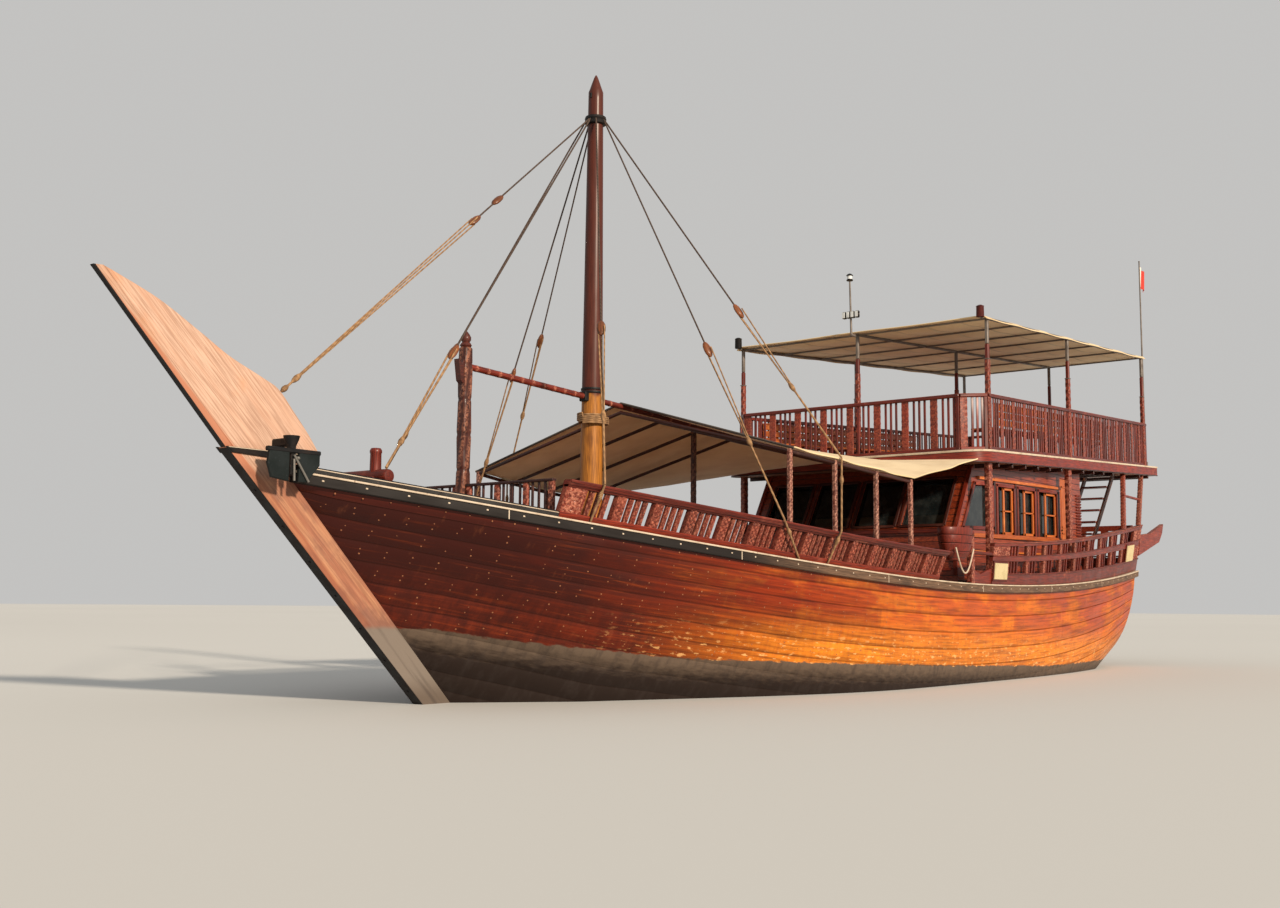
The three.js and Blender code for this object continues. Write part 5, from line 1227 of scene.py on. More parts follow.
def oval_tub(profile, centre, **options):
    """Tub from a profile of radius and height: each level is an ellipse twice as long as it is wide."""
    profile = np.array(profile)
    angle = np.linspace(0, 2 * np.pi, 40, endpoint=False)
    ring = np.stack([2 * np.cos(angle), np.sin(angle)], -1)
    rings = np.empty((len(profile), len(angle), 3))
    rings[..., :2] = profile[:, None, :1] * ring[None] + np.array(centre[:2])
    rings[..., 2] = profile[:, 1:] + centre[2]
    return loft(rings, **options)


def build_gangway():
    """Low gate board, knobbed post, rail, and a half barrel step of four bowed slats hung on a bar."""
    board, rail = (SEAT, gate_top, -0.065, -0.005, 0.008, 0), (0.44, 0.49, -0.065, -0.005, 0.01, 1)
    forms = rails(1, -0.21, AFT_START_X + 2 * GAP, AFT_LEAN, 24, board, rail)
    y = at(half_beam, -0.25) - 0.01
    low = at(sheer, -0.25)
    forms.append(carved_bar((-0.25, y, low + 0.0005), (-0.25, y, low + 0.7), 0.08, 0.1, up=(0, 1, 0),
                            material=1))
    knob = [(0.02, 0.7), (0.03, 0.71), (0.05, 0.735), (0.055, 0.76), (0.045, 0.785), (0.02, 0.8),
            (0.001, 0.803)]
    forms.append(turned([(0.0005, 0.699), *knob], (-0.25, y, low), material=1))
    x, y = 0.34, at(half_beam, 0.34) + 0.02
    top = at(sheer, 0.34) + 0.79
    forms.append(box((-0.29, y - 0.02, top - 0.06), (x, y + 0.02, top - 0.02)))
    for low_z, high_z, low_r, high_r in (
        (-0.47, -0.355, 0.10, 0.165), (-0.345, -0.235, 0.168, 0.188), (-0.225, -0.115, 0.189, 0.198),
        (-0.105, 0, 0.198, 0.2),
    ):
        slat = [(0.001, low_z), (low_r, low_z), (low_r + 0.004, low_z + 0.012),
                (high_r + 0.004, high_z - 0.012), (high_r, high_z), (0.001, high_z)]
        forms.append(oval_tub(slat, (x, y, top), material=1))
    core = [(0.001, -0.46), (0.12, -0.44), (0.16, -0.3), (0.18, -0.01), (0.001, -0.01)]
    forms.append(oval_tub(core, (x, y, top), material=2))
    t = np.linspace(0, 1, 24)
    loop = np.stack([x - 0.3 + 0.6 * t, np.full_like(t, y + 0.15), top - 0.3 - 0.36 * np.sin(np.pi * t)], -1)
    forms.append(sweep(loop, circle(0.012, 8), up=(0, 1, 0), material=3))
    piece("gangway_gate_and_step", forms, [RED_TEAK, PALE_CARVING, DARK_TEAK, WHITE_EDGE],
          ["gangway_panel"])


def build_wing_edges():
    """Pale worn strips along the top edges of the quarter wings."""
    forms = []
    for _, side in SIDES:
        y = side * (at(half_beam, STERN_X) + 0.005)
        path = np.array([(-9.57, y, 2.648), (-10.2, y, 2.708), (-11.07, y, 2.948)])
        forms.append(sweep(path, rectangle(0.08, 0.016, 0.004)))
    piece("quarter_wing_edges", forms, [PALE_RAIL])


# Foredeck

def build_bitts():
    """Log across the foredeck with rounded ends, its two cheeks and one round bitt."""
    x = 9.19
    base = at(deck_z, x) + 0.17
    y = np.array([-0.56, -0.555, -0.54, -0.45, 0.45, 0.54, 0.555, 0.56])
    radius = np.array([0.05, 0.066, 0.074, 0.078, 0.078, 0.074, 0.066, 0.05])
    log = sweep(np.stack([np.full_like(y, x), y, np.full_like(y, base)], -1),
                circle(1, 24)[None] * radius[:, None, None])
    foot = at(deck_z, x + 0.09) + 0.0005
    cheeks = [box((x - 0.09, low, foot), (x + 0.09, low + 0.07, base), 0.008) for low in (-0.4, 0.33)]
    profile = [(0.001, base), (0.062, base), (0.062, base + 0.1), (0.06, base + 0.25), (0.066, base + 0.262),
               (0.066, base + 0.285), (0.058, base + 0.297), (0.056, base + 0.303), (0.05, base + 0.309),
               (0.001, base + 0.309)]
    bitt = turned(profile, (x, 0.33, 0), 24, material=1)
    piece("foredeck_bitts", [log, *cheeks, bitt], [BARE_CARVING, RED_TEAK], ["bitt_log"])


def build_anchor():
    """Anchor hung under its bracket: two fluke plates, a stock bar, two rods and a bow shackle."""
    x, y = 10.29, 0.335
    left = [(x - 0.32, 2.64), (x - 0.06, 2.64), (x - 0.06, 2.33), (x - 0.16, 2.33), (x - 0.32, 2.52)]
    right = [(x + 0.06, 2.64), (x + 0.3, 2.64), (x + 0.32, 2.5), (x + 0.27, 2.36), (x + 0.06, 2.33)]
    funnel = [(0.001, 2.66), (0.045, 2.66), (0.05, 2.7), (0.075, 2.76), (0.085, 2.8), (0.001, 2.8)]
    forms = [
        plate(left, y, y + 0.045, chamfer=0.008), plate(right, y, y + 0.045, chamfer=0.008),
        box((x - 0.33, y - 0.005, 2.62), (x + 0.33, y + 0.05, 2.668), 0.01, material=1),
        box((x - 0.03, y - 0.035, 2.4), (x + 0.03, y + 0.03, 2.7), 0.01, material=1),
        turned(funnel, (x, y - 0.02, 0), 20, material=1),
        box((x - 0.05, HEAD_HALF + 0.0005, 2.7), (x + 0.05, y - 0.03, 2.78), 0.01, material=1),
    ]
    for start, end in (((x + 0.02, 2.6), (x - 0.17, 2.34)), ((x + 0.02, 2.56), (x + 0.01, 2.34))):
        forms.append(rod((start[0], y + 0.06, start[1]), (end[0], y + 0.06, end[1]), 0.013, 10, material=2))
    forms.append(turned([(0.001, -0.02), (0.018, -0.012), (0.022, 0), (0.018, 0.012), (0.001, 0.02)],
                        (x - 0.025, y + 0.065, 2.57), 12, material=2))
    piece("anchor_ironwork", forms, [TEAL_IRON, BLACK_IRON, WORN_IRON], ["anchor"])


def build_bow_post():
    """Carved post: flared foot, shaft cut in twisting facets, a hooked notch for the spar and a finial."""
    low = at(deck_z, BOW_POST_X + 0.095) + 0.0005
    z = np.concatenate([np.linspace(low, low + 0.3, 10), np.linspace(low + 0.32, 4.17, 110)])
    flare = 1 + 0.3 * np.clip(1 - (z - low) / 0.3, 0, 1) ** 1.5
    angle = np.linspace(0, 2 * np.pi, 24, endpoint=False)[None]
    square = 1 / np.maximum(np.abs(np.cos(angle)), np.abs(np.sin(angle)))
    square = np.minimum(square, 1.22)
    twist = 0.04 * np.cos(4 * angle - 9 * z[:, None])
    rings_cut = -0.09 * np.exp(-((((z[:, None] - low) % 0.42) - 0.21) / 0.02) ** 2)
    radius = 0.068 * square * (1 + twist + rings_cut) * flare[:, None]
    radius[0], radius[-1] = radius[1], 0.8 * radius[-2]
    rings = np.stack([BOW_POST_X + radius * np.cos(angle), radius * np.sin(angle),
                      z[:, None] * np.ones_like(angle)], -1)
    wear = np.clip(0.35 + 9 * twist + 6 * rings_cut, 0, 1)
    forms = [loft(rings, wear=wear)]
    hook = [(BOW_POST_X + 0.05, 3.7), (BOW_POST_X + 0.11, 3.76), (BOW_POST_X + 0.15, 4.01),
            (BOW_POST_X + 0.095, 3.96), (BOW_POST_X + 0.05, 4.04)]
    forms.append(plate(hook, -0.05, 0.05, chamfer=0.01))
    finial = [(0.001, 4.16), (0.05, 4.165), (0.072, 4.19), (0.06, 4.215), (0.045, 4.23), (0.062, 4.26),
              (0.062, 4.29), (0.04, 4.33), (0.015, 4.362), (0.001, 4.37)]
    forms.append(turned(finial, (BOW_POST_X, 0, 0), 20))
    piece("carved_bow_post", forms, [DARK_RED_TEAK], ["bow_post"])


def build_foredeck_rails():
    """Low rail each side of the bow post: slim rails, thin sticks and wider carved posts between them."""
    forms = []
    x = BOW_POST_X
    base = at(deck_z, x + 0.06)
    reach = at(half_beam, x) - GUNWALE - 0.03
    for _, side in SIDES:
        y0, y1 = side * 0.0762, side * reach
        forms.append(bar((x, y0, base + 0.45), (x, y1, base + 0.45), 0.07, 0.03, chamfer=0.01))
        forms.append(bar((x, y0, base + 0.018), (x, y1, base + 0.018), 0.05, 0.034))
        for share in (0.03, 0.36, 0.69, 0.97):
            y = y0 + share * (y1 - y0)
            forms.append(carved_bar((x, y, base + 0.001), (x, y, base + 0.445), 0.05, 0.075, up=(0, 1, 0),
                                    pitch=0.09, cut=0.008, material=1))
        for share in np.concatenate([np.linspace(0.1, 0.29, 3), np.linspace(0.43, 0.62, 3),
                                     np.linspace(0.76, 0.9, 3)]):
            y = y0 + share * (y1 - y0)
            forms.append(bar((x, y, base + 0.03), (x, y, base + 0.44), 0.022, 0.03, up=(0, 1, 0)))
    piece("foredeck_rail_sticks", forms, [DARK_TEAK, PALE_CARVING],
          ["foredeck_rail_port", "foredeck_rail_starboard"])


# Mast and poles

def build_mast():
    """Tapering pole, bare and golden below the hoops and dark above, with two hoops and a pointed head."""
    foot = at(deck_z, MAST_X + 0.16) + 0.0005
    z = np.concatenate([np.linspace(foot, 3.86, 16), np.linspace(4.0, 8.05, 40)])
    profile = [(0.001, foot), *[(mast_radius(v), v) for v in z], (0.085, 8.09), (0.055, 8.18), (0.03, 8.25),
               (0.012, 8.29), (0.001, 8.3)]
    forms = [turned(profile, (MAST_X, 0, 0), 36)]
    for low in (3.905, 3.95):
        r = mast_radius(low)
        hoop = [(r - 0.02, low), (r + 0.011, low), (r + 0.014, low + 0.006), (r + 0.014, low + 0.024),
                (r + 0.011, low + 0.03), (r - 0.02, low + 0.03)]
        forms.append(turned(hoop, (MAST_X, 0, 0), 36, material=1))
    forms.append(box((MAST_X + 0.085, -0.016, 7.95), (MAST_X + 0.112, 0.016, 8.02), 0.004, material=1))
    clamp = [(MAST_X + 0.13, -0.06, 3.79), (MAST_X + 0.2, 0.06, 3.92)]
    forms.append(box(*clamp, 0.01, material=1))
    piece("mast_pole", forms, [MAST_TIMBER, BLACK_IRON], ["mast"])


def bead_pole(start, end, radius, pitch, bead, **options):
    """Turned pole: its radius swells in a narrow bead every pitch along it."""
    start, end = np.array([start, end], float)
    length = np.linalg.norm(end - start)
    at = np.linspace(0, 1, max(8, int(length / 0.02)))
    swell = bead * np.exp(-((((at * length) % pitch) - pitch / 2) / 0.018) ** 2)
    radii = radius - bead + swell
    section = circle(1, 16)[None] * radii[:, None, None]
    wear = np.broadcast_to((swell / bead)[:, None], (len(at), 16))
    return sweep(start + at[:, None] * (end - start), section, wear=wear, **options)


def build_poles():
    """Spar from the bow post to the mast, and the awning's ridge pole from the mast to the upper deck."""
    spar = bead_pole((BOW_POST_X - 0.072, 0, spar_z(BOW_POST_X - 0.072)), (MAST_X + 0.14, 0, spar_z(MAST_X)),
                     SPAR_RADIUS, 0.2, 0.003)
    piece("bow_spar_pole", [spar], [PALE_CARVING], ["bow_spar"])
    front = MAST_X - 0.1406
    ridge = bead_pole((front, 0, ridge_z(front)), (DECK_FRONT_X + 0.002, 0, ridge_z(DECK_FRONT_X)),
                      SPAR_RADIUS, 0.45, 0.004)
    piece("ridge_pole", [ridge], [PALE_CARVING], ["awning_ridge"])


# Awning

def sagging_tent():
    """Awning: level lines from eave to ridge to eave. The cloth sags between rafters by a squared sine
    along the boat, and between ridge and eave by a flat arch."""
    stations = np.array([*AWNING_XS, 0, DECK_FRONT_X - GAP])
    heights = np.array([*AWNING_ZS, 3.2, 3.49])
    halves = np.array([*(awning_post_y(AWNING_XS) + 0.06), 2.64, 2.42])
    last = len(stations) - 1
    x = np.concatenate([np.linspace(stations[i], stations[i + 1], 13)[:-1] for i in range(last)]
                       + [stations[-1:]])
    part = np.interp(-x, -stations, np.arange(last + 1.0))
    eave, half = np.interp(-x, -stations, heights), np.interp(-x, -stations, halves)
    ridge = ridge_z(x) + SPAR_RADIUS + 0.012 + 2 * GAP
    v = np.linspace(-1, 1, 61)
    droop = np.sin(np.pi * (part % 1)) ** 2
    arch = 4 * np.abs(v) * (1 - np.abs(v))
    z = ridge[:, None] + (eave + 0.012 - ridge)[:, None] * np.abs(v)[None]
    z = z - 0.035 * droop[:, None] * np.sqrt(arch)[None]
    z = z - 0.02 * arch[None] * np.sin(np.pi * part / last)[:, None]
    y = half[:, None] * v[None]
    scallop = 0.02 * droop[:, None] * np.abs(v)[None] ** 8
    return np.stack([x[:, None] * np.ones_like(y), y * (1 - scallop), z], -1)


def area_of(grid):
    """Area of a grid of points, from the cross products of its cells' diagonals."""
    one, two = grid[1:, 1:] - grid[:-1, :-1], grid[:-1, 1:] - grid[1:, :-1]
    return float(0.5 * np.linalg.norm(np.cross(one, two), axis=2).sum())


def build_awning():
    """Awning cloth with its rolled hems, on posts, eave poles and rafters."""
    grid = sagging_tent()
    # The cloth's underside is paler than its top: painted light thrown up from below
    cloth_piece = piece("awning_canvas", [cloth_sheet(grid, 0.004, back_material=1)], [CANVAS, CANVAS_UNDER_PAINTED_BOUNCE],
                        ["awning_cloth"], sharp=60)
    hem = [sweep(grid[:, k], circle(0.011, 8)) for k in (0, -1)]
    front = grid[0] + np.array([0.0, 0, -0.012])
    # The front hem is dark: painted shade of the awning's front edge, seen edge-on
    hem.append(sweep(front, circle(0.016, 8), up=(1, 0, 0), material=1))
    hems = piece("awning_hems", hem, [CANVAS, PAINTED_SHADE_HEM])
    area = area_of(grid)
    return cloth_piece


def build_awning_frame():
    """Carved posts on the bulwarks' rails, eave poles between them, and rafters up to the ridge pole."""
    forms = []
    for _, side in SIDES:
        points = [np.array([x, side * float(awning_post_y(x)), z - 0.035])
                  for x, z in zip(AWNING_XS, AWNING_ZS)]
        forms += [rod(a, b, 0.026, 14, material=1) for a, b in zip(points, points[1:])]
        for x, y, z in points:
            foot = at(sheer, x + 0.032) + FORE_TOP + 0.001
            forms.append(carved_bar((x, y, foot), (x, y, z + 0.03), 0.06, 0.06, up=(0, 1, 0), pitch=0.07,
                                    cut=0.005))
            forms.append(rod((x, y, z), (x, -side * 0.012, ridge_z(x) - SPAR_RADIUS - 0.04), 0.024, 12,
                             material=1))
    piece("awning_frame_poles", forms, [POST_TEAK, DARK_TEAK], ["awning_frame"])
    # The middle post takes the dark teak as painted shade: it stands in the awning's shadow
    x = CENTRE_POST_X
    low, top = at(deck_z, x + 0.038) + 0.0005, ridge_z(x) - SPAR_RADIUS - 0.004
    post = carved_bar((x, 0, low), (x, 0, top), 0.072, 0.072, up=(0, 1, 0), pitch=0.1, cut=0.004)
    piece("awning_middle_post", [post], [DARK_TEAK], ["awning_centre_post"])


# Rigging

# No stay runs this way, so it can serve as their sections' up
LINE_UP = (0.3, 0.2, 1)


def about(start, end, part, distances):
    """Points at distances along a line from a share of the way down it."""
    start, end = np.array([start, end], float)
    along = (end - start) / np.linalg.norm(end - start)
    return start + part * (end - start) + distances[:, None] * along


def pulley_block(start, end, part, size=0.055):
    """Oval wooden block about 0.2 m long on a line, at a share of the way down it."""
    distances = np.array([-0.11, -0.09, -0.05, 0, 0.05, 0.09, 0.11])
    swell = size * np.array([0.25, 0.62, 0.93, 1, 0.93, 0.62, 0.25])
    section = circle(1, 14)[None] * swell[:, None, None] * np.array([1.0, 0.6])
    return sweep(about(start, end, part, distances), section, up=LINE_UP, material=2)


def seizing(start, end, part, radius=0.028, long=0.11, **options):
    """Turns of small line round a rope: a bulge with a ridge for each turn."""
    at = np.linspace(-long / 2, long / 2, 22)
    radii = radius * np.cos(np.pi * at / long * 0.8) + 0.003 * np.sin(2 * np.pi * at / 0.018)
    section = circle(1, 10)[None] * radii[:, None, None]
    return sweep(about(start, end, part, at), section, up=LINE_UP, **options)


def over_rail(rail_x, foot_x, side):
    """A stay's two lowest points: on the fore bulwark's top rail, and below it on the rub rail."""
    rail_y = at(half_beam, rail_x) + FORE_LEAN * FORE_TOP + 0.076
    return [(rail_x, side * rail_y, at(sheer, rail_x) + FORE_TOP),
            (foot_x, side * (at(half_beam, foot_x) + 0.048), at(sheer, foot_x) + 0.015)]


def build_stays():
    """Eight stays from one band at the masthead: served wire down to a block, then rope down to the rail."""
    low, high = BAND_Z - 0.06, BAND_Z + 0.06
    r = mast_radius(low) + 0.001
    band = turned([(r, low), (0.14, low + 0.01), (0.148, low + 0.04), (0.135, BAND_Z), (0.148, high - 0.04),
                   (0.14, high - 0.01), (r, high)], (MAST_X, 0, 0), 28, material=1)
    forms = [band]
    eave_x, eave_z = AWNING_XS[1], AWNING_ZS[1]
    eave_y = float(awning_post_y(eave_x)) + 0.1
    routes = [([(10.16, 0, 3.33)], (0.36, 0.44)), ([(9.21, 0.52, at(deck_z, 9.19) + 0.26)], (0.72,))]
    for side in (1, -1):
        routes.append((over_rail(7.3, 7.3, side), (0.62,)))
        routes.append((over_rail(4.8, 4.3, side), (0.6,)))
        routes.append(([(eave_x, side * eave_y, eave_z + 0.02), *over_rail(eave_x, eave_x, side)], (0.58,)))
    for points, blocks in routes:
        points = [np.array(point, float) for point in points]
        flat = (points[0] - (MAST_X, 0, BAND_Z))[:2]
        start = np.array([MAST_X, 0, BAND_Z]) + np.append(0.128 * flat / np.linalg.norm(flat), 0)
        change = start + blocks[-1] * (points[0] - start)
        forms.append(rod(start, change, 0.011, 8))
        forms += [pulley_block(start, points[0], part) for part in blocks]
        gather = 0.97 if len(blocks) > 1 else blocks[-1] + 0.22
        knot = start + gather * (points[0] - start)
        for y, z in ((-0.05, 0.03), (0, -0.05), (0.05, 0.03)):
            forms.append(rod(change + (0, y, z), knot + (0, 0.2 * y, 0.2 * z), 0.009, 8, material=3))
        forms.append(seizing(start, points[0], gather, 0.032, 0.16, material=3))
        forms.append(rod(knot, points[0], 0.013, 8, material=3))
        for a, b in zip(points, points[1:]):
            forms.append(rod(a, b, 0.013, 8, material=3))
            forms.append(seizing(a, b, 0.3, 0.026, 0.14, material=3))
    forms.append(seizing((10.3, 0, 3.2), (10.02, 0, 3.46), 0.5, 0.03, 0.12, material=3))
    for side, turn in ((1, 0.0), (-1, 0.4)):
        t = np.linspace(0, 8 * np.pi, 120)
        coil = np.stack([MAST_X + (0.19 + 0.03 * side) * np.cos(t), side * 0.03 + 0.17 * np.sin(t),
                         3.5 + turn * 0.1 + 0.004 * t], -1)
        forms.append(sweep(coil, circle(0.013, 8), material=3))
    piece("rigging_stays", forms, [WIRE, BLACK_IRON, BLOCK_WOOD, MANILA], ["stays"])


# Deckhouse

def frame_round(corners, width, depth, **options):
    """Moulding round an opening: a bar along each edge, long enough to meet its neighbours at the corners."""
    corners = np.asarray(corners, float)
    forms = []
    for a, b in zip(corners, np.roll(corners, -1, axis=0)):
        step = (b - a) / np.linalg.norm(b - a) * width * 0.5
        forms.append(bar(a - step, b + step, width, depth, up=(0, 1, 0), **options))
    return forms


def side_window(x0, x1, inset=0.0):
    """Corners of a side window: its sill and head rise a little towards the stern."""
    fore, aft = ((x, 0.02 * (-3.5 - x)) for x in (x0 - inset, x1 + inset))
    sill = [(x, 2.38 + rise + inset) for x, rise in (fore, aft)]
    return sill + [(x, 3.22 + rise - inset) for x, rise in (aft, fore)]


def in_wall(corners, y):
    """Corners given by station and height, put in an upright plane at a distance out."""
    return [(x, y, z) for x, z in corners]


SCREEN_RAKE = 0.5955
HOUSE_AFT_X = -7.2
WINDOWS = ((-3.2, -3.92), (-4.08, -4.86), (-5.01, -5.92))
FIRST_WINDOW = ((-1.79, 2.43), (-3.0, 2.48), (-3.0, 3.23), (-2.27, 3.19))


def build_deckhouse_trim(name, side):
    """Window mouldings, sliding sashes pushed aft, sill and head boards, and louvre slats by the door."""
    def wall_bar(out, start, end, width, depth, **options):
        """Bar in the wall's plane, between two places given by station and height."""
        return bar(*in_wall((start, end), side * out), width, depth, **options)

    forms = frame_round(in_wall(FIRST_WINDOW, side * 2.012), 0.06, 0.03)
    for x0, x1 in WINDOWS:
        forms += frame_round(in_wall(side_window(x0, x1, -0.012), side * 2.01), 0.05, 0.026)
        middle = x0 + 0.42 * (x1 - x0)
        forms += frame_round(in_wall(side_window(middle, x1, 0.03), side * 1.972), 0.055, 0.03, material=1)
        z = side_window(middle, x1)[0][1]
        forms.append(wall_bar(1.972, (middle, z + 0.42), (x1, z + 0.43), 0.03, 0.026, material=1))
    for x0, z0, x1, z1, high, deep in (
        (-1.66, 2.315, -6.05, 2.4, 0.07, 0.05), (-2.4, 3.295, -6.05, 3.37, 0.05, 0.05),
        (-1.64, 2.05, -6.08, 2.13, 0.03, 0.03),
    ):
        forms.append(wall_bar(2.016, (x0, z0), (x1, z1), deep, high, material=1))
    for x in (-3.1, -4.0, -4.935, -6.02):
        forms.append(wall_bar(2.006, (x, 2.35), (x, 3.3), 0.016, 0.06, up=(1, 0, 0), material=2))
    for z in np.arange(2.25, 3.35, 0.055):
        forms.append(wall_bar(2.012, (-6.9, z), (-7.14, z + 0.005), 0.022, 0.035, up=(0, 0.6 * side, 1)))
    base = at(deck_z, -4.0)
    forms.append(wall_bar(2.008, (-1.6, base + 0.1), (-6.09, base + 0.1), 0.02, 0.16, material=2))
    screen = [(-1.6, 1.65), (-1.6, 2.38), (-2.24, 3.47)]
    for a, b in zip(screen, screen[1:]):
        forms.append(wall_bar(1.97, (a[0] + 0.012, a[1]), (b[0] + 0.012, b[1]), 0.03, 0.075, up=(0, 1, 0)))
    piece(f"deckhouse_trim_{name}", forms, [RED_TEAK, ORANGE_WOOD, DARK_TEAK])


def screen_x(z):
    """Station of the windscreen's face: it rakes aft in a straight line as it rises."""
    return -1.6 - SCREEN_RAKE * (z - 2.38) + 0.014


def build_windscreen_trim():
    """Mouldings round the four raking panes of the windscreen, and a sill below them."""
    forms = []
    for left in (-1.8, -0.9, 0, 0.9):
        corners = [(left + 0.045, 2.47), (left + 0.855, 2.47), (left + 0.855, 3.29), (left + 0.045, 3.29)]
        points = np.array([(screen_x(z), y, z) for y, z in corners])
        for a, b in zip(points, np.roll(points, -1, axis=0)):
            forms.append(bar(a, b, 0.05, 0.026, up=(1, 0, SCREEN_RAKE)))
    forms.append(bar((-1.575, -1.9, 2.38), (-1.575, 1.9, 2.38), 0.05, 0.06, material=1))
    for z in (1.75, 2.05):
        forms.append(bar((-1.59, -1.9, z), (-1.59, 1.9, z), 0.02, 0.04, material=1))
    piece("windscreen_trim", forms, [DARK_RED_TEAK, RED_TEAK])


def build_door_trim(name, side):
    """Two framed panels on the door's outer face, and its knob."""
    sill = at(deck_z, -6.6) + 0.18
    forms = []
    for low, high in ((0.12, 0.82), (0.94, 1.7)):
        corners = [(x, side * 1.991, sill + z)
                   for x, z in ((-6.2, low), (-6.5, low), (-6.5, high), (-6.2, high))]
        forms += frame_round(corners, 0.035, 0.008, chamfer=0.002)
    knob = [(0.001, 0), (0.012, 0), (0.012, 0.01), (0.02, 0.016), (0.02, 0.026), (0.001, 0.03)]
    form = turned(knob, (0, 0, 0), 14, material=1)
    along, high, out = form.points.copy().T
    form.points = np.stack([along - 6.165, side * (1.987 + out), high + sill + 0.88], -1)
    forms.append(outward(form))
    piece(f"door_trim_{name}", forms, [ORANGE_WOOD, BRONZE], body=f"door_{name}")


def leaning_post(foot, top, half_x, half_y, cut=0.006, pitch=0.11, **options):
    """Carved post between two level cuts: level rectangles whose edges are pushed in and out by relief."""
    foot, top = np.array([foot, top], float)
    length = np.linalg.norm(top - foot)
    rows = max(10, int(length / 0.03))
    base = rectangle(2 * half_x, 2 * half_y, 0.25 * min(half_x, half_y))
    section, wear = carved_section(base, length, rows, pitch, cut)
    centre = foot + np.linspace(0, 1, rows)[:, None] * (top - foot)
    level = np.concatenate([section, np.zeros((rows, len(base), 1))], -1)
    return loft(centre[:, None] + level, section=section, wear=wear, **options)


def deck_under(x):
    """Height of the upper deck's underside."""
    return deck_top(x) - DECK_THICK


def build_deck_posts():
    """Two carved posts each side under the upper deck, each with a cap block near its head."""
    for name, side in SIDES:
        for k, x in enumerate((-2.0, -5.93)):
            y = side * (deck_half(x) - 0.08)
            foot = (x, y, at(deck_z, x - 0.065) + 0.001)
            post = leaning_post(foot, (x, y, deck_under(x + 0.065) - 0.001), 0.062, 0.047, 0.008)
            cap = box((x - 0.064, y - 0.049, deck_under(x) - 0.16),
                      (x + 0.064, y + 0.049, deck_under(x) - 0.1), 0.012, material=1)
            piece(f"carved_deck_post_{name}_{k + 1}", [post, cap], [PALE_CARVING, RED_TEAK],
                  [f"deck_post_{name}_{k + 1}"])


def build_struts():
    """Carved raking struts under the upper deck's end, with a round bar between each pair."""
    for name, side in SIDES:
        forms, middles = [], []
        for k, (station, top_x) in enumerate(((-7.955, -9.4), (-9.02, -10.71))):
            high = aft_top(station)
            lean = TRANSOM_RAKE * high * aft_part(station)
            foot = (station - lean, side * (at(half_beam, station) + 0.1 * high - 0.045),
                    at(sheer, station - 0.06) + aft_top(station - 0.06) + 0.001)
            top = (top_x, side * (deck_half(top_x) - 0.09), deck_under(top_x + 0.045) - 0.002)
            forms.append(leaning_post(foot, top, 0.044, 0.044, 0.007, material=k))
            middles.append((0.5 * (station + top_x) - 0.13,
                            side * 0.5 * (at(half_beam, station) + deck_half(top_x) - 0.07), 3.42))
        forms.append(rod(middles[0], middles[1], 0.028, 12, material=0))
        piece(f"stern_strut_pair_{name}", forms, [RED_TEAK, PALE_CARVING],
              [f"stern_struts_{name}"])


def build_ladder():
    """Ladder through the hatch: two leaning sides, nine treads, and a worn strip on each tread's edge."""
    x0, z0 = -7.55, at(deck_z, -7.62) + 0.001
    x1, z1 = -9.85, deck_top(-9.85) + 0.02
    forms = [leaning_post((x0, y, z0), (x1, y, z1), 0.07, 0.02, 0.002) for y in (1.23, 1.8)]
    for k in range(1, 10):
        part = k / 10
        x, z = x0 + part * (x1 - x0), z0 + part * (z1 - z0)
        forms.append(box((x - 0.11, 1.25, z - 0.015), (x + 0.11, 1.78, z + 0.015), 0.006, material=1))
        forms.append(box((x + 0.095, 1.25, z + 0.012), (x + 0.108, 1.78, z + 0.02), 0.002, material=2))
    piece("deck_ladder", forms, [DARK_TEAK, RED_TEAK, BRONZE_EDGE], ["ladder"])


# Upper deck

def deck_edge(grow):
    """Plan of the upper deck's edge grown outward: straight sides, two quadratic corners and the front."""
    corner = 0.42
    t = np.linspace(0, 1, 12)[:, None]
    front, half = DECK_FRONT_X + grow, DECK_HALF + grow
    a, b, c = np.array([(DECK_FRONT_X - corner, half), (front, half), (front, DECK_HALF - corner)])
    bend = (1 - t) ** 2 * a + 2 * t * (1 - t) * b + t**2 * c
    x = np.linspace(DECK_AFT_X, DECK_FRONT_X - corner - 0.2, 30)
    side = np.stack([x, deck_half(x) + grow], -1)
    side[-6:, 1] = np.interp(x[-6:], [x[-7], a[0]], [side[-7, 1], half])
    port = np.concatenate([side, bend])
    return np.concatenate([port, port[::-1] * [1, -1]])


def edge_strip(grow, low, high, thick, **options):
    """Board bent round the upper deck's edge between two heights below its top."""
    plan = deck_edge(grow)
    path = np.column_stack([plan, deck_top(plan[:, 0]) + (low + high) / 2])
    return sweep(path, rectangle(thick, high - low, min(0.004, thick / 4)), **options)


def build_upper_deck_trim():
    """Fascia round the deck's edge with a pale nosing and a lower bead, beam ends below it, and beams aft."""
    forms = [
        edge_strip(0.008, -0.19, -0.03, 0.016), edge_strip(0.012, -0.03, 0.004, 0.03, material=1),
        edge_strip(0.012, -0.205, -0.185, 0.028, material=2),
    ]
    for x in np.arange(-2.3, -11.4, -0.62):
        if min(abs(x + 2.0), abs(x + 5.93)) < 0.1 or -10.15 < x < -8.6:
            continue
        reach, z = deck_half(x) - 0.01, deck_under(x) - 0.036
        spans = ((2.02, reach), (-2.02, -reach)) if x > HOUSE_AFT_X else ((-reach, reach),)
        forms += [bar((x, y0, z), (x, y1, z), 0.05, 0.065, material=2) for y0, y1 in spans]
    piece("upper_deck_trim", forms, [FASCIA_TEAK, WHITE_EDGE, DARK_TEAK])


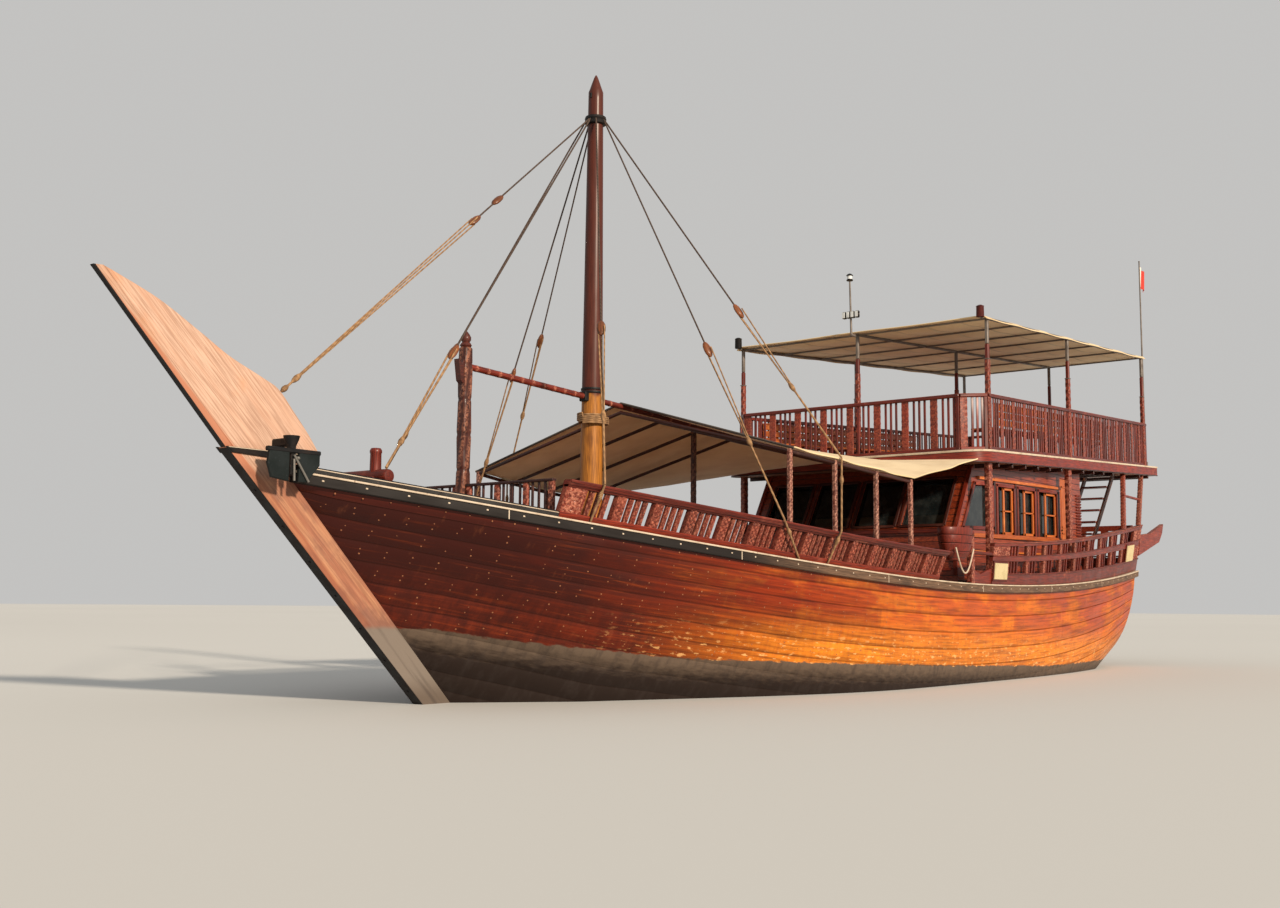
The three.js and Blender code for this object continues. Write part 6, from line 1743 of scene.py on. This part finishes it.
def on_deck(x, y, height):
    """Point at a height above the upper deck."""
    return np.array([x, y, deck_top(x) + height])


def rail_run(start, end):
    """Run of upper rail: a rounded top rail and a low one, then a carved board and three sticks in turn."""
    start, end = np.array(start), np.array(end)
    length = np.linalg.norm(end - start)
    along = (end - start) / length
    heading = (along[0], along[1], 0)

    def upright(u, low, high, thick, wide, carved=None, **options):
        """Post or stick at a distance along the run, between two heights above the deck."""
        x, y = start + u * along
        low, high = on_deck(x, y, low), on_deck(x, y, high)
        if carved:
            return carved_bar(low, high, thick, wide, up=heading, pitch=carved, cut=0.006, rows=26, **options)
        return bar(low, high, thick, wide, up=heading, **options)

    forms = [
        bar(on_deck(*start, 0.9), on_deck(*end, 0.9), 0.078, 0.05, chamfer=0.016),
        bar(on_deck(*start, 0.93), on_deck(*end, 0.93), 0.05, 0.008, material=2),
        bar(on_deck(*start, 0.031), on_deck(*end, 0.031), 0.05, 0.058, chamfer=0.01),
        upright(length - 0.03, 0.001, 0.88, 0.055, 0.055, material=1),
    ]
    count = max(1, round(length / 0.54))
    step = length / count
    for k in range(count):
        forms.append(upright(k * step + 0.065, 0.05, 0.88, 0.026, 0.126, carved=0.1, material=1))
        for i in (1, 2, 3):
            u = k * step + 0.13 + (step - 0.13) * i / 4
            forms.append(upright(u, 0.05, 0.88, 0.02, 0.04, material=0))
    return forms


def build_upper_rails():
    """Rails along both sides with the canopy's carved posts in them, across the front, and aft."""
    front, corner, aft = -1.59, 0.33, -11.02
    half = rail_half(front)
    for name, side in SIDES:
        forms = rail_run((front - corner - 0.04, side * half), (aft, side * rail_half(aft)))
        for x in CANOPY_XS:
            y = side * rail_half(x)
            foot, top = on_deck(x, y, 0.001), on_deck(x, y, 1.5)
            forms.append(carved_bar(foot, top, 0.08, 0.08, up=(1, 0, 0), pitch=0.14, cut=0.006, material=1))
        piece(f"upper_side_rail_{name}", forms, [RAIL_RED, RAIL_BOARD, PALE_RAIL],
              [f"upper_rail_{name}"])
    runs = [((front, -half + corner), (front, half - corner)),
            ((front - corner, -half), (front, -half + corner)),
            ((front, half - corner), (front - corner, half))]
    forms = [form for run in runs for form in rail_run(*run)]
    piece("upper_front_rail", forms, [RAIL_RED, RAIL_BOARD, PALE_RAIL],
          ["upper_rail_front"])
    x = CANOPY_XS[2] - 0.087
    half = rail_half(x) - 0.045
    piece("upper_aft_rail", rail_run((x, -half), (x, half)), [RAIL_RED, RAIL_BOARD, PALE_RAIL],
          ["upper_rail_aft"])


def build_benches():
    """Slatted bench: three back boards, three seat boards, and solid ends and knees."""
    x0, x1 = -2.5, -8.3
    for name, side in SIDES:
        def spot(x, inset, height):
            """Point at a station, in from the rail and up from the deck."""
            return on_deck(x, side * (rail_half(x) - inset), height)

        forms = [bar(spot(x0, 0.1, high), spot(x1, 0.1, high), 0.028, 0.105, chamfer=0.008)
                 for high in (0.5, 0.63, 0.755)]
        for inset in (0.2, 0.33, 0.46):
            forms.append(bar(spot(x0, inset, 0.405), spot(x1, inset, 0.405), 0.115, 0.03, chamfer=0.008))
        for x in np.linspace(x0 - 0.03, x1 + 0.03, 8):
            forms += [
                bar(spot(x, 0.075, 0.001), spot(x, 0.075, 0.81), 0.05, 0.04, up=(1, 0, 0), material=1),
                bar(spot(x, 0.09, 0.37), spot(x, 0.5, 0.37), 0.04, 0.035, material=1),
                bar(spot(x, 0.5, 0.001), spot(x, 0.5, 0.385), 0.04, 0.04, up=(1, 0, 0), material=1),
            ]
        forms.append(bar(spot(x0, 0.1, 0.815), spot(x1, 0.1, 0.815), 0.06, 0.02))
        piece(f"slatted_bench_{name}", forms, [ORANGE_WOOD, RED_TEAK], [f"bench_{name}"])


# Canopy

CROSS_PIPE_XS = (*CANOPY_XS, -3.3, -4.65, -7.6, -9.2)
BARE_HEAD = 0.42


def pipe_post(x, y, foot):
    """Square post of the canopy: cased in wood up to its head, with bare grey pipe above the casing."""
    head = canopy_z(x) - 0.008
    casing = bar((x, y, foot), (x, y, head - BARE_HEAD), 0.062, 0.062, up=(1, 0, 0), chamfer=0.01, material=1)
    return [casing, bar((x, y, head - BARE_HEAD + 0.001), (x, y, head), 0.056, 0.056, up=(1, 0, 0),
                        chamfer=0.01)]


def build_canopy_frame():
    """Pipes that carry the canvas, and its posts on the sides and along the middle."""
    forms = []
    front, aft = CANOPY_XS[0] + 0.03, CANOPY_XS[2] - 0.03
    for part in (-1, 0, 1):
        forms.append(rod((front, part * rail_half(front), canopy_z(front)),
                         (aft, part * rail_half(aft), canopy_z(aft)), 0.024, 14))
    for x in CROSS_PIPE_XS:
        reach = rail_half(x) + 0.007
        forms.append(rod((x, -reach, canopy_z(x) - 0.005), (x, reach, canopy_z(x) - 0.005), 0.017, 12))
    for x in CANOPY_XS:
        for _, side in SIDES:
            y = side * (rail_half(x) + 0.001)
            foot = deck_top(x - 0.042) + 1.501
            forms += pipe_post(x, y, foot)
            forms.append(box((x - 0.045, y - 0.045, foot + 0.002), (x + 0.045, y + 0.045, foot + 0.016),
                             0.004))
        low = deck_top(x - 0.042) + 0.001
        forms.append(carved_bar((x, 0, low), (x, 0, low + 1.5), 0.078, 0.078, up=(1, 0, 0), pitch=0.14,
                                cut=0.005, material=1))
        forms += pipe_post(x, 0, low + 1.501)
    piece("canopy_pipes", forms, [GREY_PIPE, RAIL_BOARD], ["canopy_frame"])


def build_canopy():
    """Flat canvas on its pipes: it sags by squared sines between them, and its sides turn down in a hem."""
    pipes = np.sort(np.array([*CROSS_PIPE_XS]))[::-1]
    x = np.concatenate([np.linspace(a, b, 11)[:-1] for a, b in zip([-1.88, *pipes], [*pipes, -10.99])]
                       + [[-10.99]])
    part = np.interp(-x, -pipes, np.arange(len(pipes)))
    v = np.linspace(-1, 1, 81)
    reach = rail_half(x)[:, None] + 0.055
    across = reach * v[None]
    inner = np.clip(np.abs(across) / rail_half(x)[:, None], 0, 1)
    sag = 0.035 * np.sin(np.pi * (part % 1))[:, None] ** 2 * (0.35 + 0.65 * np.sin(np.pi * inner) ** 2)
    sag = sag + 0.012 * np.sin(np.pi * inner) ** 2
    turn = np.clip((np.abs(across) - rail_half(x)[:, None]) / 0.055, 0, 1)
    z = canopy_z(x)[:, None] + 0.036 - sag - 0.05 * turn**2
    grid = np.stack([x[:, None] * np.ones_like(z), across, z], -1)
    # The cloth's underside is paler than its top: painted light thrown up from below
    sheet = piece("canopy_canvas", [cloth_sheet(grid, 0.004, back_material=1)], [CANVAS, CANVAS_UNDER_PAINTED_BOUNCE],
                  ["canopy_cloth"], sharp=60)
    hems = [sweep(grid[:, k], circle(0.009, 8)) for k in (0, -1)]
    hems += [sweep(grid[k], circle(0.009, 8), up=(1, 0, 0)) for k in (0, -1)]
    strips = []
    for share in (-0.75, -0.5, -0.25, 0.25, 0.5, 0.75):
        k = int(round((share + 1) * 40))
        strips.append(sweep(grid[:, k] - (0, 0, 0.0065), rectangle(0.05, 0.003, 0.0008)))
    hem = piece("canopy_hems", [*hems, *strips], [CANVAS])
    area = area_of(grid)


# Lamps, aerial and flag

def build_light_mast():
    """Short pole on the canopy's front with its lantern, and four floodlights on a cross bar."""
    x = CANOPY_XS[0] + 0.22
    z = canopy_z(x)
    base = [(0.001, 6.8), (0.055, 6.8), (0.06, 6.81), (0.05, 6.825), (0.045, 6.83), (0.001, 6.83)]
    pane = [(0.001, 6.83), (0.045, 6.83), (0.045, 6.885), (0.001, 6.885)]
    hood = [(0.001, 6.885), (0.058, 6.89), (0.06, 6.9), (0.03, 6.922), (0.012, 6.93), (0.001, 6.93)]
    forms = [
        rod((x, 0, z), (x + 0.04, 0, 6.82), 0.02, 12, 0.014),
        box((CANOPY_XS[0] + 0.043, -0.019, z - 0.03), (x + 0.015, 0.019, z + 0.006)),
        *[turned(part, (x + 0.04, 0, 0), 20, material=kind)
          for part, kind in ((base, 1), (pane, 2), (hood, 1))],
        rod((x + 0.01, -0.168, 6.2), (x + 0.01, 0.168, 6.2), 0.014, 10),
    ]
    for y in (-0.125, -0.042, 0.042, 0.125):
        forms.append(box((x - 0.03, y - 0.032, 6.14), (x + 0.045, y + 0.032, 6.26), 0.01, material=1))
        forms.append(box((x + 0.045, y - 0.026, 6.15), (x + 0.055, y + 0.026, 6.25), 0.003, material=2))
    piece("light_pole", forms, [GREY_PIPE, BLACK_IRON, LAMP_GLASS], ["light_mast"])


def build_side_lamps():
    """Black and dark red lamps above the canopy's front corners, each on a bracket from its pipe's end."""
    forms = []
    for side, kind, top in ((-1, 1, 6.07), (1, 0, 6.07)):
        x, y = CANOPY_XS[0] + 0.2, side * (rail_half(-2.0) - 0.02)
        profile = [(0.001, top - 0.2), (0.06, top - 0.2), (0.065, top - 0.19), (0.062, top - 0.03),
                   (0.068, top - 0.02), (0.03, top), (0.001, top)]
        forms.append(turned(profile, (x, y, 0), 20, material=kind))
        forms.append(box((CANOPY_XS[0] + 0.02, y - 0.012, top - 0.212), (x + 0.03, y + 0.012, top - 0.198),
                         0.003, material=2))
    piece("canopy_lamps", forms, [LAMP_RED, BLACK_IRON, GREY_PIPE])


def build_flag():
    """Pole on its step, and a small plain two-coloured flag that hangs in folds."""
    x, y = CANOPY_XS[2] - 0.2, rail_half(CANOPY_XS[2] - 0.2) - 0.02
    foot = deck_top(x) + 0.04
    knob = [(0.001, 8.762), (0.018, 8.766), (0.02, 8.776), (0.001, 8.786)]
    forms = [rod((x, y, foot), (x, y, 8.77), 0.022, 14, 0.014), turned(knob, (x, y, 0), 14)]
    forms.append(box((x - 0.04, y - 0.04, deck_top(x - 0.04) + 0.001), (x + 0.04, y + 0.04, foot + 0.06)))
    piece("flag_pole", forms, [GREY_PIPE], ["flagpole"])
    u, v = np.meshgrid(np.linspace(0, 1, 41), np.linspace(0, 1, 25), indexing="ij")
    fold = np.sin(2 * np.pi * (1.6 * u + 0.25 * v)) * np.minimum(1, 3 * u)
    grid = np.stack([
        x - 0.018 - 0.29 * u, y + 0.03 * fold, 8.645 - 0.44 * v - 0.07 * u**1.5 + 0.01 * np.cos(5 * u),
    ], -1)
    sheet = cloth_sheet(grid, 0.002)
    cells = (u.shape[0] - 1) * (u.shape[1] - 1)
    white = (np.arange(cells) // (u.shape[1] - 1)) < 12
    sheet.material[:cells][white] = 1
    sheet.material[cells:2 * cells][white] = 1
    flag = piece("plain_flag", [sheet], [BUNTING, BUNTING_WHITE], ["flag"], sharp=60)
    width = float(np.linalg.norm(np.diff(grid[:, 0], axis=0), axis=1).sum())
    area_of(grid) / width


def build_stern_trim():
    """Pale mouldings across the stern board, above and below its row of small windows."""
    reach = at(half_beam, STERN_X) - 0.13
    forms = []
    for z, high, kind in ((2.82, 0.05, 1), (2.7, 0.03, 0), (2.22, 0.03, 0), (1.9, 0.05, 0)):
        x = at(transom_x, z) - 0.1
        forms.append(bar((x, -reach, z), (x, reach, z), 0.03, high, material=kind))
    piece("stern_board_trim", forms, [PALE_CARVING, PALE_RAIL])


def build_mast_collar():
    """Moulded collar round the mast's foot."""
    low = at(deck_z, MAST_X + 0.26) + 0.001
    inner = mast_radius(low) + 0.001
    profile = [(inner, low), (0.253, low), (0.253, low + 0.03), (0.24, low + 0.045), (0.236, low + 0.1),
               (0.246, low + 0.115), (0.235, low + 0.14), (0.225, low + 0.15), (inner, low + 0.15)]
    piece("mast_collar", [turned(profile, (MAST_X, 0, 0), 36)], [DARK_TEAK], ["mast_partner"])


build_stem_head()
build_stem_strip()
for name, side in SIDES:
    build_rub_rail(name, side)
    build_bow_cap(name, side)
    build_fore_bulwark(name, side)
    build_aft_bulwark(name, side)
    build_deckhouse_trim(name, side)
    build_door_trim(name, side)
for build in (
    build_gangway, build_wing_edges, build_bitts, build_anchor, build_bow_post, build_foredeck_rails,
    build_mast, build_mast_collar, build_poles, build_awning_frame, build_awning, build_stays,
    build_windscreen_trim, build_deck_posts, build_struts, build_ladder, build_upper_deck_trim,
    build_upper_rails, build_benches, build_canopy_frame, build_canopy, build_light_mast,
    build_side_lamps, build_flag, build_stern_trim,
):
    build()

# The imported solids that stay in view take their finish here
SKINS = {
    "stem": STEM_TIMBER, "deckhouse_door_port": DOOR_WOOD, "deckhouse_door_starboard": DOOR_WOOD,
    "keel_and_sternpost": BOTTOM_WOOD, "rudder": BOTTOM_WOOD, "propeller": BRONZE,
    "upper_deck": DECK_TEAK, "anchor": TEAL_IRON,
    "deckhouse_port": WALL_TEAK, "deckhouse_starboard": WALL_TEAK,
    "deckhouse_front": WALL_TEAK, "deckhouse_aft": WALL_TEAK,
    "deckhouse_glass_port": GLASS, "deckhouse_glass_starboard": GLASS,
    "deckhouse_glass_front": GLASS, "deckhouse_glass_aft": GLASS,
}
for name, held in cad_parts.items():
    held.data.materials.clear()
    held.data.materials.append(SKINS.get(name, CAD_RED))
